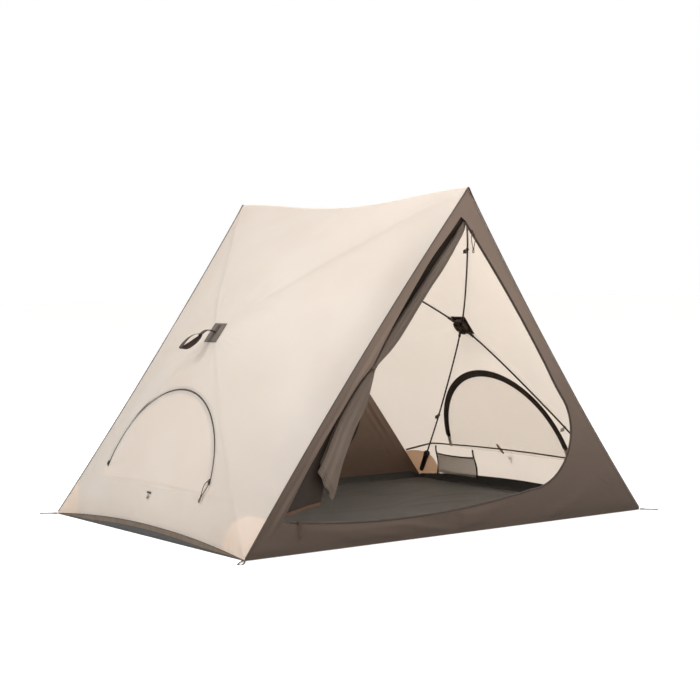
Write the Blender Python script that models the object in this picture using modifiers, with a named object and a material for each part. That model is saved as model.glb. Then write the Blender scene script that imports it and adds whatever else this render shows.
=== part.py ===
# Beach shelter: a small A-frame hub tent for the ground, +Z up, doorway facing -Y.
# Each sloping wall has a hub in its middle with four sprung poles; pushing the hub in collapses the wall.
import math

import bmesh
import bpy
from mathutils import Matrix, Vector

# Driving dimensions, in metres
WIDTH = 2.00  # across the doorway, at the ground
LENGTH = 1.50  # front to back, at the ground
RIDGE_HEIGHT = 1.345
RIDGE_LENGTH = 1.618
HUB_BOW = 0.193  # how far the hub holds the middle of a wall out
POLE_BOW = 0.029  # rise of a sprung pole over its own straight line
HUB_SEAT = 0.05  # share of the way to the edge that lies flat under the hub
SEAM_CURVE = 0.030  # how far the gable seams pull in at mid height
RIDGE_SAG = 0.045
HEM_ARCH = 0.032
HEM_HEIGHT = 0.004  # the walls' corners over the ground
CLOTH = 0.002
GAP = 0.0003

# Floor tub
FLOOR_THICKNESS = 0.002
FLOOR_INSET = 0.0036
RIM_HEIGHT = 0.050
RIM_END_HEIGHT = 0.035
RIM_LEAN = 0.013
RIM_DIP = 0.070  # length over which an end rim comes down to a corner
RIM_CORNER_HEIGHT = 0.012

# Poles, hubs and boots
POLE_RADIUS = 0.004
POLE_END_RADIUS = 0.0050
POLE_STANDOFF = 0.0123  # pole's axis behind the middle of the cloth, at the hub
SPAN_STANDOFF = 0.0170
TIP_STANDOFF = 0.020
TIP_BACK = 0.075  # pole's tip back from the wall's corner
HUB_RADIUS = 0.038
HUB_THICKNESS = 0.022
HUB_TOP_PLATE = 0.0036
HUB_CORE = 0.014
PIVOT_RADIUS = 0.030
SLOT_CLEARANCE = 0.0005
PIN_RADIUS = 0.0020
PIN_LENGTH = 0.024
PIN_CLEARANCE = 0.0003
STUD_RADIUS = 0.008
PATCH_SIDE = 0.092
PATCH_THICKNESS = 0.0015
PATCH_CLEARANCE = 0.0005
BOOT_LENGTH = 0.130
BOOT_OVERRUN = 0.013
BOOT_TOP_RADIUS = 0.0145
BOOT_TIP_RADIUS = 0.0095
BOOT_CLEARANCE = 0.0006
TIE_REACH = 0.58  # share of the way from the hub to a corner
TIE_BALL_RADIUS = 0.009
TIE_RING_LENGTH = 0.010
TIE_RING_WALL = 0.002
TIE_CLEARANCE = 0.0007

# Pull loop on each hub
LOOP_LENGTH = 0.160
LOOP_WIDTH = 0.025
LOOP_THICKNESS = 0.0016
LOOP_ROOT = 0.0018
LOOP_NECK = 0.045
LOOP_OPENING = 0.030
LOOP_RISE = 0.012
LOOP_DROOP = 0.060

# Windows
WINDOW_RADIUS = 0.41
WINDOW_SEAM = 0.178  # bottom seam, up the slope from the ground
WINDOW_SHIFT = 0.02  # middle of the window behind the middle of the wall
WINDOW_SHOULDER = 45.0
WINDOW_BLEND = 0.06
ZIP_HALF_WIDTH = 0.0122
ZIP_THICKNESS = 0.003
NET_THICKNESS = 0.001
NET_MARGIN = 0.0105
FLAP_FOOT = 0.0015  # cut edges over the window's seam
ZIP_FOOT = 0.0020
NET_FOOT = 0.0010
PANEL_GAP = 0.0006
SLIDER_ANGLE = 9.0
SLIDER_LENGTH = 0.022
SLIDER_WIDTH = 0.012
SLIDER_HEIGHT = 0.005
SLIDER_PLAY = 0.0004
PULL_LENGTH = 0.078
PULL_WIDTH = 0.012
PULL_CORD_RADIUS = 0.0012
TOGGLE_BELOW_SEAM = 0.024
TOGGLE_LENGTH = 0.024
TOGGLE_RADIUS = 0.0045
TOGGLE_PLAY = 0.0003
EYE_LENGTH = 0.018

# Doorways
DOOR_BELOW_RIDGE = 0.130
DOOR_LEFT = -0.837
DOOR_LEFT_HEIGHT = 0.122
DOOR_CORNER = 0.845
DOOR_CORNER_HEIGHT = 0.137
DOOR_CORNER_RADIUS = 0.225
DOOR_SILL_SAG = 0.045
DOOR_ZIP_HALF_WIDTH = 0.006
DOOR_ZIP_THICKNESS = 0.003
GABLE_INSET = 0.0014
GABLE_FOOT = 0.001
BACK_DOOR_EASE = 0.006
LOW_PULL_LENGTH = 0.030
LOW_SLIDER_SHARE = 0.75  # of a step of the zip's path
HIGH_SLIDER_SHARE = 0.35
SILL_MIDDLE = 0.100

# Front door, gathered at its left edge
TIE_HEIGHT = 0.667
GATHER_BELOW_TOP = 0.085  # where the pleats start, under the doorway's top
GATHER_WIDTH = 0.048  # at the tie
GATHER_SWELL = 0.020
GATHER_TAPER = 0.022
GATHER_FLARE = 0.262
GATHER_DROOP = 0.060
GATHER_CLOTH = 0.0015
OUTER_SHARE = 0.44  # of the gathered width
OUTER_PLEATS = 2
OUTER_PLEAT_DEPTH = 0.010
OUTER_FOOT = 0.085
OUTER_FOOT_RISE = 0.060
LINING_START = 0.50
LINING_PLEATS = 3
LINING_PLEAT_DEPTH = 0.014
LINING_FOOT = 0.175
LINING_FOOT_RISE = 0.050
LINING_BEHIND = 0.036
TIE_PINCH = 0.45  # depth left to a pleat under the tie
TIE_REACH_UP = 0.16
DOOR_BEHIND = 0.026  # gathered door's middle behind the gable
DOOR_SEAM_GAP = 0.006
DOOR_SEAM_LAP = 0.008
SEAM_PLAY = 0.0005
SEAM_FREE = 0.020  # half of the seam's length that the tie draws away
SEAM_BACK = 0.100
TIE_PLAY = 0.0004
BAND_THICKNESS = 0.002
BAND_HEIGHT = 0.012
BAND_HALF_DEPTH = 0.026
BAND_PLAY = 0.013

# Gear pocket on the right wall
POCKET_BACK = 0.553
POCKET_FRONT = 0.276
POCKET_TOP = 0.150
POCKET_FOOT = 0.056
POCKET_DEPTH = 0.034
POCKET_CLOTH = 0.0015
POCKET_CLEARANCE = 0.0020

# Stake loops
STAKE_LENGTH = 0.080
STAKE_WIDTH = 0.024
STAKE_STRAP = 0.005
STAKE_THICKNESS = 0.0025
STAKE_LIFT = 0.0006
STAKE_PLAY = 0.0010

SLOPE = Vector((-WIDTH / 2, 0.0, RIDGE_HEIGHT - HEM_HEIGHT))
SLOPE_LENGTH = SLOPE.length
HALF_SLOPE = SLOPE_LENGTH / 2
DOOR_TOP = RIDGE_HEIGHT - DOOR_BELOW_RIDGE

for old in list(bpy.data.objects):
    bpy.data.objects.remove(old, do_unlink=True)


def make_collection(name):
    collection = bpy.data.collections.new(name)
    bpy.context.scene.collection.children.link(collection)
    return collection


SHELTER = make_collection("beach_shelter")
CUTTERS = make_collection("cutters")


def make_material(name, color, roughness, metallic=0.0):
    material = bpy.data.materials.new(name)
    material.use_nodes = True
    shader = material.node_tree.nodes["Principled BSDF"]
    shader.inputs["Base Color"].default_value = (*color, 1.0)
    shader.inputs["Roughness"].default_value = roughness
    shader.inputs["Metallic"].default_value = metallic
    return material


CREAM = make_material("cream_polyester", (0.78, 0.70, 0.62), 0.85)
TAUPE = make_material("taupe_polyester", (0.20, 0.16, 0.13), 0.85)
LINING = make_material("grey_brown_lining", (0.27, 0.22, 0.20), 0.85)
FLOOR_CLOTH = make_material("dark_grey_floor_cloth", (0.055, 0.052, 0.050), 0.75)
BLACK_PLASTIC = make_material("black_nylon", (0.012, 0.010, 0.009), 0.45)
GLASSFIBRE = make_material("dark_glassfibre", (0.020, 0.014, 0.010), 0.35)
WEBBING = make_material("dark_brown_webbing", (0.035, 0.020, 0.015), 0.80)
PATCH = make_material("grey_brown_patch", (0.13, 0.11, 0.095), 0.80)
ZIP_TAPE = make_material("dark_zip_tape", (0.020, 0.014, 0.010), 0.70)
NETTING = make_material("grey_netting", (0.33, 0.29, 0.26), 0.90)
STEEL = make_material("zip_steel", (0.55, 0.52, 0.48), 0.35, 1.0)


def smooth_step(value, low, high):
    share = min(max((value - low) / (high - low), 0.0), 1.0)
    return share * share * (3 - 2 * share)


def add_mesh(name, mesh, material, collection=None):
    piece = bpy.data.objects.new(name, mesh)
    mesh.materials.append(material)
    (collection or SHELTER).objects.link(piece)
    return piece


def from_bmesh(name, form, material, collection=None):
    bmesh.ops.recalc_face_normals(form, faces=form.faces)
    mesh = bpy.data.meshes.new(name)
    form.to_mesh(mesh)
    form.free()
    return add_mesh(name, mesh, material, collection)


def solidify(piece, thickness, offset=0.0):
    modifier = piece.modifiers.new("wall", "SOLIDIFY")
    modifier.thickness = thickness
    modifier.offset = offset
    modifier.use_even_offset = True
    return piece


def cut(piece, cutter, operation="DIFFERENCE"):
    modifier = piece.modifiers.new("cut", "BOOLEAN")
    modifier.operation = operation
    modifier.object = cutter
    modifier.solver = "EXACT"
    return piece


def as_cutter(piece):
    piece.hide_render = True
    piece.display_type = "WIRE"
    for collection in list(piece.users_collection):
        collection.objects.unlink(piece)
    CUTTERS.objects.link(piece)
    return piece


def frame_matrix(origin, x_axis, y_axis):
    x_axis = x_axis.normalized()
    z_axis = x_axis.cross(y_axis).normalized()
    y_axis = z_axis.cross(x_axis)
    matrix = Matrix((x_axis, y_axis, z_axis)).transposed().to_4x4()
    matrix.translation = origin
    return matrix


def flat_outline(name, loops, half_thickness, material, matrix):
    """A flat plate between closed outlines; the first loop is the edge, the others are holes."""
    curve = bpy.data.curves.new(name, "CURVE")
    curve.dimensions = "2D"
    curve.fill_mode = "BOTH"
    curve.extrude = half_thickness
    for loop in loops:
        spline = curve.splines.new("POLY")
        spline.points.add(len(loop) - 1)
        for point, (x, y) in zip(spline.points, loop):
            point.co = (x, y, 0.0, 1.0)
        spline.use_cyclic_u = True
    curve.materials.append(material)
    plate = bpy.data.objects.new(name, curve)
    SHELTER.objects.link(plate)
    plate.matrix_world = matrix
    return plate


def as_mesh(piece):
    """The evaluated shape of a curve as a welded mesh object in the same place."""
    bpy.context.view_layer.update()
    graph = bpy.context.evaluated_depsgraph_get()
    mesh = bpy.data.meshes.new_from_object(piece.evaluated_get(graph))
    form = bmesh.new()
    form.from_mesh(mesh)
    bmesh.ops.remove_doubles(form, verts=form.verts, dist=0.00001)
    bmesh.ops.recalc_face_normals(form, faces=form.faces)
    form.to_mesh(mesh)
    form.free()
    name = piece.name
    matrix = piece.matrix_world.copy()
    bpy.data.objects.remove(piece, do_unlink=True)
    solid = bpy.data.objects.new(name, mesh)
    SHELTER.objects.link(solid)
    solid.matrix_world = matrix
    return solid


def tube(name, points, radius, material, shares=None, closed=False):
    curve = bpy.data.curves.new(name, "CURVE")
    curve.dimensions = "3D"
    curve.bevel_depth = radius
    curve.bevel_resolution = 2
    curve.use_fill_caps = not closed
    spline = curve.splines.new("POLY")
    spline.points.add(len(points) - 1)
    for index, (point, place) in enumerate(zip(spline.points, points)):
        point.co = (*place, 1.0)
        point.radius = shares[index] if shares else 1.0
    spline.use_cyclic_u = closed
    curve.materials.append(material)
    piece = bpy.data.objects.new(name, curve)
    SHELTER.objects.link(piece)
    return piece


def fuse(name, body, *others):
    """One solid of overlapping shapes, moulded or sewn together."""
    body.name = name
    for other in others:
        cut(body, as_cutter(other), "UNION")
    return body


# The sloping walls' surface

def half_length(up):
    return LENGTH / 2 + (RIDGE_LENGTH - LENGTH) / 2 * (up + 1) / 2


def seam_pull(up):
    return SEAM_CURVE * (1 - up * up)


def bow(reach):
    """How far the cloth stands out of the wall's plane; reach is 0 at the hub and 1 at the edge."""
    reach = max(reach, HUB_SEAT)
    return HUB_BOW * (1 - reach) + 4 * POLE_BOW * reach * (1 - reach)


def slope_axis(side):
    return Vector((side * SLOPE.x, 0.0, SLOPE.z)) / SLOPE_LENGTH


def out_axis(side):
    return Vector((side * SLOPE.z, 0.0, -SLOPE.x)) / SLOPE_LENGTH


def place_on_wall(side, along_y, up_slope, lift):
    """A point by its depth, its distance up the slope from the ground and its height over the plane."""
    foot = Vector((side * WIDTH / 2, along_y, HEM_HEIGHT))
    return foot + slope_axis(side) * up_slope + out_axis(side) * lift


def window_line():
    """Height over the wall's plane at the window's seam, and how fast it rises up the slope."""
    shoulder = WINDOW_SEAM + WINDOW_RADIUS * math.sin(math.radians(WINDOW_SHOULDER))
    low = bow(1 - WINDOW_SEAM / HALF_SLOPE)
    high = bow(1 - shoulder / HALF_SLOPE)
    return low, (high - low) / (shoulder - WINDOW_SEAM)


def cloth_height(along, up):
    """Height of the cloth over the wall's plane; round a window it is flat, so that the zip can run."""
    reach = max(abs(along), abs(up))
    height = bow(reach)
    if up < 0 and abs(along) <= -up:
        low, rise = window_line()
        plane = low + rise * ((1 + up) * HALF_SLOPE - WINDOW_SEAM)
        clear = (reach - abs(along)) * half_length(up)
        share = smooth_step(clear, 0.0, WINDOW_BLEND) * smooth_step(reach, 0.10, 0.26)
        share *= 1 - smooth_step(reach, 0.82, 0.95)
        height += (plane - height) * share
    return height


def edge_share(up):
    """0 up to a little past the hub, 1 at the ridge or hem."""
    return max((up - 0.15) / 0.85, 0.0) ** 2


def wall_point(side, along, up, lift=0.0):
    """along runs from -1 at the front to 1 at the back, up from -1 at the hem to 1 at the ridge."""
    across = 1 - along * along
    up += HEM_ARCH / SLOPE.z * 2 * across * edge_share(-up)
    pull = seam_pull(up) * along * along
    y = along * (half_length(up) - pull)
    point = place_on_wall(side, y, (1 + up) * HALF_SLOPE, cloth_height(along, up) + lift)
    point.z -= RIDGE_SAG * across * across * edge_share(up)
    point.x = side * max(side * point.x, CLOTH / 2 + GAP)
    return point


def cloth_point(side, y, slope, lift=0.0):
    """The cloth's point at a depth and a distance up the slope from the ground."""
    up = slope / HALF_SLOPE - 1
    along = y / half_length(up)
    for _ in range(4):
        along = y / (half_length(up) - seam_pull(up) * along * along)
    return place_on_wall(side, y, slope, cloth_height(along, up) + lift)


def gable_y(height):
    up = 2 * (height - HEM_HEIGHT) / (RIDGE_HEIGHT - HEM_HEIGHT) - 1
    return half_length(up) - seam_pull(up)


SECTORS = {"lower": (0, -1), "front": (-1, 0), "back": (1, 0), "top": (0, 1)}
SIDES = {"left": -1, "right": 1}
CORNERS = {
    "front_low": (-1, -1),
    "back_low": (1, -1),
    "front_high": (-1, 1),
    "back_high": (1, 1),
}


def window_matrix(side):
    """Local X runs back, local Y up the window and local Z out of it or into it."""
    low, rise = window_line()
    origin = place_on_wall(side, WINDOW_SHIFT, WINDOW_SEAM, low)
    up = slope_axis(side) + out_axis(side) * rise
    return frame_matrix(origin, Vector((0.0, -side, 0.0)), up)


def half_disc(radius, foot, steps=40):
    start = math.asin(foot / radius)
    turn = math.pi - 2 * start
    return [
        (radius * math.cos(start + turn * i / steps), radius * math.sin(start + turn * i / steps))
        for i in range(steps + 1)
    ]


def flap_fold(side):
    """A point on the outer face of the flap's foot, about which the flap folds out."""
    matrix = window_matrix(side)
    facing = 1 if out_axis(side).dot(matrix.col[2].to_3d()) > 0 else -1
    return matrix @ Vector((0.0, FLAP_FOOT, facing * CLOTH / 2))


def build_wall_panel(side_name, sector_name):
    side = SIDES[side_name]
    along_sign, up_sign = SECTORS[sector_name]
    form = bmesh.new()
    bmesh.ops.create_grid(form, x_segments=10, y_segments=10, size=1.0)
    inner = HUB_SEAT * 0.6
    seat = HUB_SEAT * 1.04
    first = 0.1
    margin = GAP * 1.5 / half_length(0) * math.sqrt(2)
    for vert in form.verts:
        row = (vert.co.x + 1) / 2
        reach = seat + (1 - seat) * (row - first) / (1 - first) if row > 0.5 * first else inner
        across = vert.co.y * (reach - margin)
        along = along_sign * reach if along_sign else across
        up = up_sign * reach if up_sign else across
        vert.co = wall_point(side, along, up)
    panel = from_bmesh(f"{side_name}_wall_{sector_name}", form, CREAM)
    solidify(panel, CLOTH)
    if sector_name == "lower":
        loop = half_disc(WINDOW_RADIUS + ZIP_HALF_WIDTH + PANEL_GAP, 0.0001)
        cutter = flat_outline(f"{panel.name}_window_cut", [loop], 0.03, CREAM, window_matrix(side))
        cut(panel, as_cutter(as_mesh(cutter)))
    return panel


def build_window(side_name):
    side = SIDES[side_name]
    matrix = window_matrix(side)
    outward = out_axis(side).dot(matrix.col[2].to_3d())
    facing = 1 if outward > 0 else -1
    flap = half_disc(WINDOW_RADIUS - ZIP_HALF_WIDTH - PANEL_GAP, FLAP_FOOT)
    flat_outline(f"{side_name}_window_flap", [flap], CLOTH / 2, CREAM, matrix)
    outer = half_disc(WINDOW_RADIUS + ZIP_HALF_WIDTH, ZIP_FOOT)
    inner = half_disc(WINDOW_RADIUS - ZIP_HALF_WIDTH, ZIP_FOOT)
    flat_outline(f"{side_name}_window_zip", [outer + inner[::-1]], ZIP_THICKNESS / 2, ZIP_TAPE, matrix)
    net = half_disc(WINDOW_RADIUS + NET_MARGIN, NET_FOOT)
    depth = ZIP_THICKNESS / 2 + GAP + NET_THICKNESS / 2
    behind = matrix @ Matrix.Translation((0.0, 0.0, -facing * depth))
    flat_outline(f"{side_name}_window_net", [net], NET_THICKNESS / 2, NETTING, behind)
    for end, angle in (("front", SLIDER_ANGLE), ("back", 180 - SLIDER_ANGLE)):
        if side < 0:
            angle = 180 - angle
        build_window_slider(side_name, end, matrix, facing, math.radians(angle))


def build_window_slider(side_name, end, matrix, facing, angle):
    """A metal slider on the zip, and the cord loop that hangs from it down the slope."""
    x = WINDOW_RADIUS * math.cos(angle)
    y = WINDOW_RADIUS * math.sin(angle)
    base = ZIP_THICKNESS / 2 + GAP
    form = bmesh.new()
    bmesh.ops.create_cube(form, size=1.0)
    bmesh.ops.scale(form, vec=(SLIDER_WIDTH, SLIDER_LENGTH, SLIDER_HEIGHT), verts=form.verts)
    bmesh.ops.bevel(
        form, geom=form.edges[:], offset=0.0012, segments=1, affect="EDGES", profile=0.5, material=-1
    )
    place = matrix @ Matrix.Translation((x, y, facing * (base + SLIDER_HEIGHT / 2)))
    place = place @ Matrix.Rotation(angle, 4, "Z")
    bmesh.ops.transform(form, matrix=place, verts=form.verts)
    body = from_bmesh("slider", form, STEEL)
    middle = facing * (base + SLIDER_HEIGHT)
    top = y + 0.003
    foot = top - PULL_LENGTH
    loop = []
    for step in range(20):
        turn = 2 * math.pi * step / 20
        across = PULL_WIDTH / 2 * math.sin(turn)
        down = (top + foot) / 2 + (top - foot) / 2 * math.cos(turn)
        loop.append(matrix @ Vector((x + across, down, middle)))
    pull = as_mesh(tube("pull", loop, PULL_CORD_RADIUS, STEEL, closed=True))
    return fuse(f"{side_name}_window_slider_{end}", body, pull)


# Poles and hubs

def corner_reach(along, up):
    return math.hypot(half_length(up), HALF_SLOPE)


def standoff(reach):
    middle = POLE_STANDOFF + (SPAN_STANDOFF - POLE_STANDOFF) * smooth_step(reach, 0.08, 0.45)
    return middle + (TIP_STANDOFF - SPAN_STANDOFF) * smooth_step(reach, 0.62, 0.80)


def pole_point(side, corner, distance):
    """A point of a pole's axis, by its distance from the middle of the wall towards the corner."""
    along, up = corner
    full = corner_reach(along, up)
    share = distance / full
    y = along * share * half_length(up)
    slope = HALF_SLOPE * (1 + up * share)
    return place_on_wall(side, y, slope, bow(share) - standoff(share))


def pole_axis(side, corner):
    along, up = corner
    heading = slope_axis(side) * up * HALF_SLOPE + Vector((0.0, along * half_length(up), 0.0))
    return heading.normalized()


def pin_axis(side, corner):
    return pole_axis(side, corner).cross(out_axis(side)).normalized()


def build_pole(side_name, corner_name):
    side = SIDES[side_name]
    corner = CORNERS[corner_name]
    start = PIVOT_RADIUS - 0.0065
    end = corner_reach(*corner) - TIP_BACK
    marks = [start, PIVOT_RADIUS + 0.004, PIVOT_RADIUS + 0.040, PIVOT_RADIUS + 0.042]
    marks += [marks[-1] + (end - marks[-1]) * i / 10 for i in range(1, 11)]
    pivot = pole_point(side, corner, PIVOT_RADIUS)
    ahead = pole_point(side, corner, PIVOT_RADIUS + 0.06)
    heading = (ahead - pivot).normalized()
    points = []
    shares = []
    for mark in marks:
        if mark <= PIVOT_RADIUS + 0.06:
            points.append(pivot + heading * (mark - PIVOT_RADIUS))
        else:
            points.append(pole_point(side, corner, mark))
        shares.append(POLE_END_RADIUS / POLE_RADIUS if mark <= PIVOT_RADIUS + 0.0401 else 1.0)
    pole = as_mesh(tube(f"{side_name}_pole_{corner_name}", points, POLE_RADIUS, GLASSFIBRE, shares))
    pin = pin_cylinder("trunnion", side, corner, PIN_RADIUS, PIN_LENGTH)
    return fuse(pole.name, pole, pin)


def pin_cylinder(name, side, corner, radius, length):
    pivot = pole_point(side, corner, PIVOT_RADIUS)
    form = bmesh.new()
    bmesh.ops.create_cone(
        form, cap_ends=True, segments=12, radius1=radius, radius2=radius, depth=length
    )
    heading = pole_axis(side, corner)
    matrix = frame_matrix(pivot, out_axis(side), heading)
    bmesh.ops.transform(form, matrix=matrix, verts=form.verts)
    return from_bmesh(name, form, STEEL)


def build_boot(side_name, corner_name):
    """A tapered sleeve over a pole's foot, which runs past the tip."""
    side = SIDES[side_name]
    corner = CORNERS[corner_name]
    tip = corner_reach(*corner) - TIP_BACK + BOOT_OVERRUN
    marks = [tip - BOOT_LENGTH * (1 - i / 6) for i in range(7)]
    points = [pole_point(side, corner, mark) for mark in marks]
    shares = [
        (BOOT_TOP_RADIUS + (BOOT_TIP_RADIUS - BOOT_TOP_RADIUS) * i / 6) / BOOT_TOP_RADIUS
        for i in range(7)
    ]
    boot = as_mesh(tube(f"{side_name}_boot_{corner_name}", points, BOOT_TOP_RADIUS, BLACK_PLASTIC, shares))
    bore_marks = [marks[0] - 0.01] + marks[1:-1] + [marks[-1] + 0.01]
    bore_points = [pole_point(side, corner, mark) for mark in bore_marks]
    bore = as_mesh(tube("boot_bore", bore_points, POLE_RADIUS + BOOT_CLEARANCE, BLACK_PLASTIC))
    cut(boot, as_cutter(bore))
    return boot


def hub_seat(side, lift):
    return place_on_wall(side, 0.0, HALF_SLOPE, bow(0.0) + lift)


def hub_top():
    return -CLOTH / 2 - GAP


def build_hub(side_name):
    side = SIDES[side_name]
    top = hub_seat(side, hub_top())
    matrix = frame_matrix(top, Vector((0.0, 1.0, 0.0)), out_axis(side).cross(Vector((0.0, 1.0, 0.0))))
    bottom = -HUB_THICKNESS
    stud = CLOTH + GAP + PATCH_CLEARANCE + PATCH_THICKNESS / 2
    edge = 0.0015
    profile = [
        (0.0, stud),
        (STUD_RADIUS, stud),
        (STUD_RADIUS, 0.0),
        (HUB_RADIUS - edge, 0.0),
        (HUB_RADIUS, -edge),
        (HUB_RADIUS, bottom + edge),
        (HUB_RADIUS - edge, bottom),
        (0.0, bottom),
    ]
    form = bmesh.new()
    verts = [form.verts.new((x, 0.0, z)) for x, z in profile]
    for first, second in zip(verts, verts[1:]):
        form.edges.new((first, second))
    bmesh.ops.spin(
        form,
        geom=form.verts[:] + form.edges[:],
        cent=(0, 0, 0),
        axis=(0, 0, 1),
        angle=2 * math.pi,
        steps=28,
        use_merge=True,
    )
    bmesh.ops.remove_doubles(form, verts=form.verts, dist=0.00001)
    bmesh.ops.transform(form, matrix=matrix, verts=form.verts)
    hub = from_bmesh(f"{side_name}_hub", form, BLACK_PLASTIC)
    for corner_name, corner in CORNERS.items():
        pivot = pole_point(side, corner, PIVOT_RADIUS)
        heading = pole_axis(side, corner)
        out = out_axis(side)
        width = 2 * (POLE_END_RADIUS + SLOT_CLEARANCE)
        reach = HUB_RADIUS + 0.01 - HUB_CORE
        depth = HUB_THICKNESS - HUB_TOP_PLATE + 0.005
        form = bmesh.new()
        bmesh.ops.create_cube(form, size=1.0)
        bmesh.ops.scale(form, vec=(reach, width, depth), verts=form.verts)
        centre = top + heading * (HUB_CORE + reach / 2) - out * (HUB_TOP_PLATE + depth / 2)
        bmesh.ops.transform(form, matrix=frame_matrix(centre, heading, out.cross(heading)), verts=form.verts)
        cut(hub, as_cutter(from_bmesh(f"{hub.name}_slot_{corner_name}", form, BLACK_PLASTIC)))
        bore = pin_cylinder(
            f"{hub.name}_bore_{corner_name}", side, corner, PIN_RADIUS + PIN_CLEARANCE, PIN_LENGTH + 0.002
        )
        cut(hub, as_cutter(bore))
    build_patch(side_name, matrix)
    return hub


def circle(radius, steps=24):
    return [
        (radius * math.cos(2 * math.pi * i / steps), radius * math.sin(2 * math.pi * i / steps))
        for i in range(steps)
    ]


def patch_floor():
    return hub_top() + CLOTH + GAP + PATCH_CLEARANCE


def build_patch(side_name, hub_matrix):
    half = PATCH_SIDE / 2
    square = [(-half, -half), (half, -half), (half, half), (-half, half)]
    lift = patch_floor() - hub_top() + PATCH_THICKNESS / 2
    place = hub_matrix @ Matrix.Translation((0.0, 0.0, lift))
    hole = circle(STUD_RADIUS + 0.0006)
    flat_outline(f"{side_name}_hub_patch", [square, hole], PATCH_THICKNESS / 2, PATCH, place)


def loop_frame(side):
    """Start of the pull loop on its patch, and its headings out and across."""
    heading = Vector((side, 0.0, 0.0))
    across = heading.cross(Vector((0.0, 0.0, 1.0)))
    start = hub_seat(side, patch_floor() + PATCH_THICKNESS + LOOP_ROOT)
    return start, heading, across


def build_pull_loop(side_name):
    """A webbing strap that leaves the patch doubled, opens into a loop and droops to its tip."""
    side = SIDES[side_name]
    start, heading, across = loop_frame(side)
    upright = Vector((0.0, 0.0, 1.0))

    def spine(share):
        out = LOOP_LENGTH * share
        rise = LOOP_RISE * math.sin(math.pi * min(share * 2.2, 1.0)) - LOOP_DROOP * share * share
        return start + heading * out + upright * rise

    def half_gap(share):
        neck = LOOP_NECK / LOOP_LENGTH
        if share < neck:
            return 0.0
        return LOOP_OPENING / 2 * math.sin(math.pi * (share - neck) / (1 - neck)) ** 0.7

    def edge(spread):
        top = [spine(i / 14) + upright * (half_gap(i / 14) + spread) for i in range(15)]
        low = [spine(i / 14) - upright * (half_gap(i / 14) + spread) for i in range(15)]
        return top + low[::-1]

    local = frame_matrix(start, heading, upright)
    back = local.inverted()
    outer = [(back @ point).to_2d() for point in edge(LOOP_THICKNESS)]
    inner_range = [i for i in range(15) if half_gap(i / 14) > 0.0015]
    top = [spine(i / 14) + upright * (half_gap(i / 14) - 0.0004) for i in inner_range]
    low = [spine(i / 14) - upright * (half_gap(i / 14) - 0.0004) for i in inner_range]
    inner = [(back @ point).to_2d() for point in top + low[::-1]]
    flat_outline(f"{side_name}_pull_loop", [outer, inner], LOOP_WIDTH / 2, WEBBING, local)


def build_tie(side_name, corner_name):
    """An elastic ring round a pole with a ball toggle, which holds the pole to the cloth."""
    side = SIDES[side_name]
    corner = CORNERS[corner_name]
    middle = corner_reach(*corner) * TIE_REACH
    marks = [middle - TIE_RING_LENGTH / 2, middle, middle + TIE_RING_LENGTH / 2]
    inner = POLE_RADIUS + TIE_CLEARANCE
    points = [pole_point(side, corner, mark) for mark in marks]
    ring = as_mesh(tube("ring", points, inner + TIE_RING_WALL, BLACK_PLASTIC))
    bore_points = [points[0] * 2 - points[1], points[1], points[2] * 2 - points[1]]
    bore = as_mesh(tube("ring_bore", bore_points, inner, BLACK_PLASTIC))
    form = bmesh.new()
    bmesh.ops.create_uvsphere(form, u_segments=12, v_segments=8, radius=TIE_BALL_RADIUS)
    centre = points[1] - out_axis(side) * (inner + TIE_RING_WALL * 0.4 + TIE_BALL_RADIUS)
    bmesh.ops.translate(form, vec=centre, verts=form.verts)
    ball = from_bmesh("ball", form, BLACK_PLASTIC)
    tie = fuse(f"{side_name}_tie_{corner_name}", ring, ball)
    cut(tie, as_cutter(bore))
    return tie


def build_window_toggle(side_name):
    """The barrel toggle and cord eye that hold the rolled window flap."""
    side = SIDES[side_name]
    surface = cloth_point(side, WINDOW_SHIFT, WINDOW_SEAM - TOGGLE_BELOW_SEAM, CLOTH / 2)
    out = out_axis(side)
    centre = surface + out * (TOGGLE_RADIUS + TOGGLE_PLAY)
    points = [centre + Vector((0.0, (i / 4 - 0.5) * TOGGLE_LENGTH, 0.0)) for i in range(5)]
    barrel = as_mesh(tube("barrel", points, TOGGLE_RADIUS, BLACK_PLASTIC, [0.7, 1, 0.8, 1, 0.7]))
    ring = []
    for step in range(16):
        turn = 2 * math.pi * step / 16
        away = slope_axis(side) * (EYE_LENGTH / 2 * (math.cos(turn) - 1) - TOGGLE_RADIUS * 0.6)
        ring.append(surface + away + out * 0.0042 + Vector((0.0, 0.005 * math.sin(turn), 0.0)))
    eye = as_mesh(tube("eye", ring, PULL_CORD_RADIUS, BLACK_PLASTIC, closed=True))
    return fuse(f"{side_name}_window_toggle", barrel, eye)


# Gables and doors

def door_path():
    """The zip's way round the doorway: bottom left corner, sill, round corner, right side, top."""
    left = Vector((DOOR_LEFT, DOOR_LEFT_HEIGHT))
    corner = Vector((DOOR_CORNER, DOOR_CORNER_HEIGHT))
    top = Vector((0.0, DOOR_TOP))
    to_top = (top - corner).normalized()
    half_angle = math.acos(-to_top.x) / 2
    tangent = DOOR_CORNER_RADIUS / math.tan(half_angle)
    sill_end = corner + Vector((-tangent, 0.0))
    side_start = corner + to_top * tangent
    centre = sill_end + Vector((0.0, DOOR_CORNER_RADIUS))
    path = []
    for i in range(12):
        share = i / 12
        point = left.lerp(sill_end, share)
        path.append(point - Vector((0.0, DOOR_SILL_SAG * 4 * share * (1 - share))))
    first = math.atan2(sill_end.y - centre.y, sill_end.x - centre.x)
    last = math.atan2(side_start.y - centre.y, side_start.x - centre.x)
    for i in range(13):
        turn = first + (last - first) * i / 12
        path.append(centre + DOOR_CORNER_RADIUS * Vector((math.cos(turn), math.sin(turn))))
    for i in range(1, 7):
        path.append(side_start.lerp(top, i / 6))
    return path


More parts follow.
